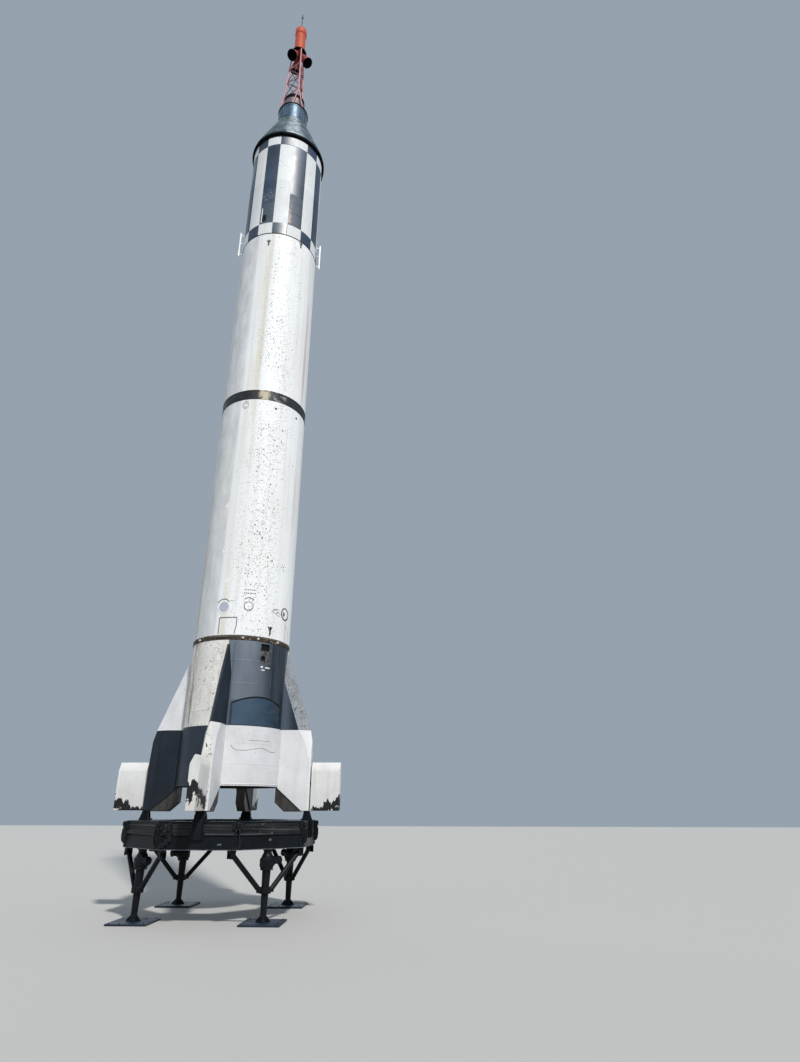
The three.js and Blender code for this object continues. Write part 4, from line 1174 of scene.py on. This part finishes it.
clamp_dark = paint("clamp_dark", "05060c 0d0e18 030306 3b3c40", rough=0.6, mottle=(4, 0.7),
                   chips=(40, 0.74), shine=0.05)
shingle = paint("shingle_metal", "3f4f5a 596d76 222c34 a4acaf", rough=0.42, metal=0.5, mottle=(5, 0.8),
                streak=(18, 0.5), chips=(40, 0.66), more=panel_tones_and_highlight)
recovery_metal = paint("recovery_metal", "3f586c 53697a 243442 8a949a", rough=0.42, metal=0.45,
                       mottle=(3, 0.7), streak=(16, 0.4), chips=(44, 0.7), grain=(60, 0.05))
can_metal = paint("can_metal", "7d7474 645c5e 50444a 352f33", metal=0.4, mottle=(5, 0.8), streak=(16, 0.5),
                  chips=(40, 0.64))
shape = bmesh.new()
turned(shape, [(0.912, CAPSULE_RING), (0.935, 17.469), (CAPSULE, 17.486), (CAPSULE, 17.54), (0.94, 17.556),
               (0.925, 17.56), (0.925, CONE_LOW)], SIDES)
for middle in (30, 150, 270):
    cover_plate(shape, middle - 3, middle + 3, 17.488, 17.538, 0.012, 0.01, columns=8, radius=CAPSULE)
finished("capsule_clamp_ring", shape, [clamp_dark], "capsule_ring", crease=25)
shape = bmesh.new()
rows = [*steps(CAPSULE, CONE_LOW, (-0.02, GAP), (-0.02, 0.025)), CONE_FOOT]
rows += steps(cone_radius(18.02), 18.02, (0, 0), (-0.004, 0.005))
rows += steps(cone_radius(18.47), 18.47, (-0.004, 0), (-0.008, 0.005)) + steps(*CONE_NECK, (-0.008, 0))
rows += steps(RECOVERY, RECOVERY_LOW, (-0.01, -0.004), (-0.01, 0))
turned(shape, rows, CAPSULE_SIDES)
for low, high, sunk in TIERS:
    foot, neck = cone_radius(low) + sunk, cone_radius(high) + sunk
    for k in range(PANELS):
        turns = [radians(360 / PANELS * (k + s)) for s in (0.03, 0.35, 0.67, 0.97)]
        for a, b in zip(turns, turns[1:]):
            joined(shape, [
                [shape.verts.new(((r + proud) * cos(turn), (r + proud) * sin(turn), z))
                 for r, turn, z in ((foot, a, low), (foot, b, low), (neck, b, high), (neck, a, high))]
                for proud in (-0.003, 0.005)
            ])
for face in shape.faces:
    face.material_index = 1 if face.calc_center_median().z < CONE_LOW + 0.005 else 0
finished("capsule_shell", shape, [shingle, clamp_dark], "capsule_cone", crease=18)

rib_tree, given = new_tree("shingle_ribs", {
    "Rib line": "Geometry", "Rib radius": "Float", "Ribs": "Int", "Finish": "Material",
})
line = node(rib_tree, "GeometryNodeMeshToCurve", {0: given["Rib line"]})
half_round = node(rib_tree, "GeometryNodeCurvePrimitiveCircle",
                  {"Resolution": 6, "Radius": given["Rib radius"]})
rib = node(rib_tree, "GeometryNodeCurveToMesh", {
    "Curve": line.outputs[0], "Profile Curve": half_round.outputs[0], "Fill Caps": True,
})
places = node(rib_tree, "GeometryNodeMeshLine", {"Count": given["Ribs"], "Offset": (0, 0, 0)})
number_of = node(rib_tree, "GeometryNodeInputIndex").outputs[0]
step = node(rib_tree, "ShaderNodeMath", {0: 2 * pi, 1: given["Ribs"]}, operation="DIVIDE").outputs[0]
swing = node(rib_tree, "ShaderNodeCombineXYZ", {"Z": times(number_of, step)}).outputs[0]
round_about = node(rib_tree, "GeometryNodeInstanceOnPoints", {
    "Points": places.outputs[0], "Instance": rib.outputs[0], "Rotation": swing,
})
end_tree(round_about.outputs[0], given["Finish"])


def ribs(name, low, high, radius, count, metal, first=0.0):
    """Straight ribs round the capsule from one (radius, height) to another."""
    sizes = {"Rib radius": radius, "Ribs": count, "Finish": metal}
    ends = [on_axis(first, r, z) @ Vector() for r, z in (low, high)]
    settle(grown(name, ends, [(0, 1)], rib_tree, sizes, 60))


seats = []
for number, (low, high, sunk) in enumerate(TIERS, 1):
    foot, neck = [(cone_radius(z) + sunk + 0.004, z) for z in (low + 0.03, high - 0.03)]
    ribs(f"shingle_ribs_{number}", foot, neck, 0.006 - 0.001 * number, 120, shingle, 1.5)
    for z in (low + 0.015, high - 0.015):
        seats += round_row(cone_radius(z) + sunk + 0.004, z, 96, 1.9)
fasteners("shingle_screws", seats, 0.004, 0.0035, shingle, sides=6)
rows = steps(RECOVERY, RECOVERY_LOW, (0, GAP), (0, 0.03), (-0.008, 0.034))
rows += steps(RECOVERY, CAN_LOW, (-0.008, -0.05), (0, -0.046), (0, 0))
spun("recovery_section", rows, [recovery_metal], "recovery_cylinder", sides=CAPSULE_SIDES)
foot, neck = (RECOVERY - 0.009, RECOVERY_LOW + 0.04), (RECOVERY - 0.009, CAN_LOW - 0.056)
ribs("recovery_ribs", foot, neck, 0.0035, 36, recovery_metal)
rows = steps(0.3, CAN_LOW, (0, GAP), (0, 0.03), (-0.006, 0.034))
rows += steps(0.281, CAN_TOP, (0, -0.16), (0.006, -0.156), (0, -0.02), (-0.015, -0.006), (-0.041, 0))
spun("antenna_can", rows, [can_metal, clamp_dark], "antenna_canister",
     sides=CAPSULE_SIDES, finish=lambda p: int(p.z > CAN_TOP - 0.17))

# Escape tower: three steel-tube legs, each split into two feet on a ring, cross-braced with thin
# rods and painted red, long faded to pink.
TOWER_TOP = 22.185
LEG_APEX = 20.25
BAYS = [LEG_APEX, 20.9, 21.5]
TOWER_LEGS = [-60, 60, 180]
FOOT_SPREAD = 20
FOOT_CIRCLE = 0.389
FOOT_RING = steps(0.4, 0, (-0.032, GAP), (0.01, GAP), (0.01, 0.012), (0, 0.016), (0, 0.034), (0.005, 0.042),
                  (-0.028, 0.042), (-0.032, 0.036))
TOP_RING = [(0.1405, -0.02), (0.21, -0.02), (0.215, -0.014), (0.215, 0.014), (0.21, 0.02), (0.1405, 0.02)]
SLEEVE = [(0.0195, -0.04), (0.027, -0.036), (0.027, 0.036), (0.0195, 0.04)]
tower_red = paint("tower_red", "cc7c82 d99a9c a05a60 7b4348", mottle=(6, 0.8), streak=(18, 0.4),
                  chips=(60, 0.62))
rod_dark = paint("rod_dark", "3c2c3a 58424e 211822 8b6f70", mottle=(9, 0.8))


def tower_point(azimuth, height):
    share = (height - CAN_LOW) / (TOWER_TOP - CAN_LOW)
    return on_axis(azimuth, 0.372 + (0.190 - 0.372) * share, height) @ Vector()


legs, feet, rails, rods = [], [], [], []
shape = bmesh.new()
turned(shape, FOOT_RING, 96, on_axis(0, 0, CAN_LOW), closed=True, finish=1)
turned(shape, TOP_RING, 48, on_axis(0, 0, TOWER_TOP), closed=True, finish=1)
for azimuth, other in zip(TOWER_LEGS, TOWER_LEGS[1:] + TOWER_LEGS[:1]):
    legs.append([tower_point(azimuth, LEG_APEX - 0.02), tower_point(azimuth, TOWER_TOP)])
    rails += [[tower_point(azimuth, z), tower_point(other, z)] for z in BAYS]
    for low, high in zip(BAYS, BAYS[1:]):
        rods.append([tower_point(azimuth, low), tower_point(other, high)])
        rods.append([tower_point(other, low), tower_point(azimuth, high)])
    up = tower_point(azimuth, TOWER_TOP) - tower_point(azimuth, CAN_LOW)
    tilt = up.to_track_quat("Z", "X").to_matrix().to_4x4()
    for height in BAYS:
        turned(shape, SLEEVE, 16, Matrix.Translation(tower_point(azimuth, height)) @ tilt, closed=True)
    for side in (-FOOT_SPREAD, FOOT_SPREAD):
        foot = on_axis(azimuth + side, FOOT_CIRCLE, CAN_LOW)
        feet.append([foot @ Vector((0, 0, 0.02)), tower_point(azimuth, LEG_APEX)])
        turned(shape, [(0.028, 0.03), (0.028, 0.05), (0.02, 0.075)], 16, foot)
pipes("tower_legs", legs, 0.02, tower_red, sides=18)
pipes("tower_feet", feet, 0.015, tower_red, sides=16)
pipes("tower_rails", rails, 0.013, tower_red, sides=14)
pipes("tower_rods", rods, 0.01, rod_dark, sides=10)
finished("tower_joints", shape, [tower_red, clamp_dark], "escape_tower")

# Escape motor: a solid-fuel rocket in faded red-orange paint. Three canted bells stand round a hub
# at its foot, sooty inside, and a long spike with a ballast knob stands on its nose.
HUB = 22.16
MOTOR_LOW = 22.24
MOTOR = 0.15
MOTOR_TOP = 23.35
SPIKE_TOP = 24.095
SMALL_BELL = [(0.05, 0), (0.058, 0.03), (0.072, 0.1), (0.1, 0.22), (0.146, 0.425), (0.15, 0.43),
              (0.15, 0.445), (0.14, 0.445), (0.136, 0.43), (0.09, 0.22), (0.06, 0.1), (0.036, 0.04)]
BELL_SIDES = 48
OUTER_ROWS = 7
motor_red = paint("motor_red", "cb5f42 b9543c 8a3a2e 5f2b24", rough=0.6, mottle=(3, 0.6), streak=(14, 0.35),
                  chips=(50, 0.66), shine=0.15)
soot = paint("soot", "120e1a 1e1828 08070c 3a3240", rough=0.75, mottle=(6, 0.7), shine=0.1)
bell_red = paint("bell_red", "9c443a 7d3531 4c2222 3a2022", mottle=(5, 0.8), streak=(14, 0.4))
shape = bmesh.new()
turned(shape, steps(MOTOR, HUB, (-0.016, -0.04), (-0.01, -0.034), (-0.01, MOTOR_LOW - GAP - HUB)), 48)
seats = []
for azimuth in (-120, 0, 120):
    start = on_axis(azimuth, 0.06, HUB) @ Vector()
    along = (on_axis(azimuth, 0.275, 21.77) @ Vector() - start).normalized()
    canted = Matrix.Translation(start) @ along.to_track_quat("Z", "Y").to_matrix().to_4x4()
    inner_from = len(shape.faces) + OUTER_ROWS * BELL_SIDES
    turned(shape, SMALL_BELL, BELL_SIDES, canted)
    for face in list(shape.faces)[inner_from:]:
        face.material_index = 1
    for k in range(12):
        seats.append(seat(canted @ Matrix.Rotation(k * pi / 6, 4, "Z"), 0.0565, 0, 0.03, (1, 0, 0.2)))
finished("escape_bells", shape, [bell_red, soot], "escape_nozzles")
fasteners("bell_bolts", seats, 0.006, 0.006, bell_red, sides=6)
rows = steps(MOTOR, MOTOR_LOW, (0.006, 0), (0.006, 0.03), (0, 0.034))
rows += steps(MOTOR, 0, (0, 23.02), (0.015, 23.03), (0.015, 23.23), (0.008, 23.25), (-0.01, 23.29),
              (-0.035, 23.318), (-0.07, 23.338), (-0.1, 23.346), (-0.11, MOTOR_TOP))
spun("escape_rocket", rows, [motor_red, bell_red], "escape_motor", sides=64,
     finish=lambda p: int(23.235 < p.z < 23.3))
seats = round_row(MOTOR + 0.005, MOTOR_LOW + 0.015, 24)
seats += round_row(MOTOR + 0.0145, 23.06, 24, 7) + round_row(MOTOR + 0.0145, 23.2, 24, 7)
fasteners("motor_bolts", seats, 0.006, 0.004, bell_red, sides=6)
spike_steel = paint("spike_steel", "4a4a50 3a3a40 3a302c 222224", metal=0.5, mottle=(12, 0.7),
                    streak=(20, 0.4))
SPIKE = [(0.034, MOTOR_TOP + GAP), (0.034, 23.362), (0.02, 23.38), (0.0155, 23.41), (0.014, 23.6),
         (0.014, 23.88), (0.022, 23.888), (0.0275, 23.905), (0.0275, 23.955), (0.022, 23.972),
         (0.013, 23.98), (0.011, 24.085), (0.005, SPIKE_TOP)]
spun("nose_spike", SPIKE, [spike_steel], "spike", crease=30, sides=24)
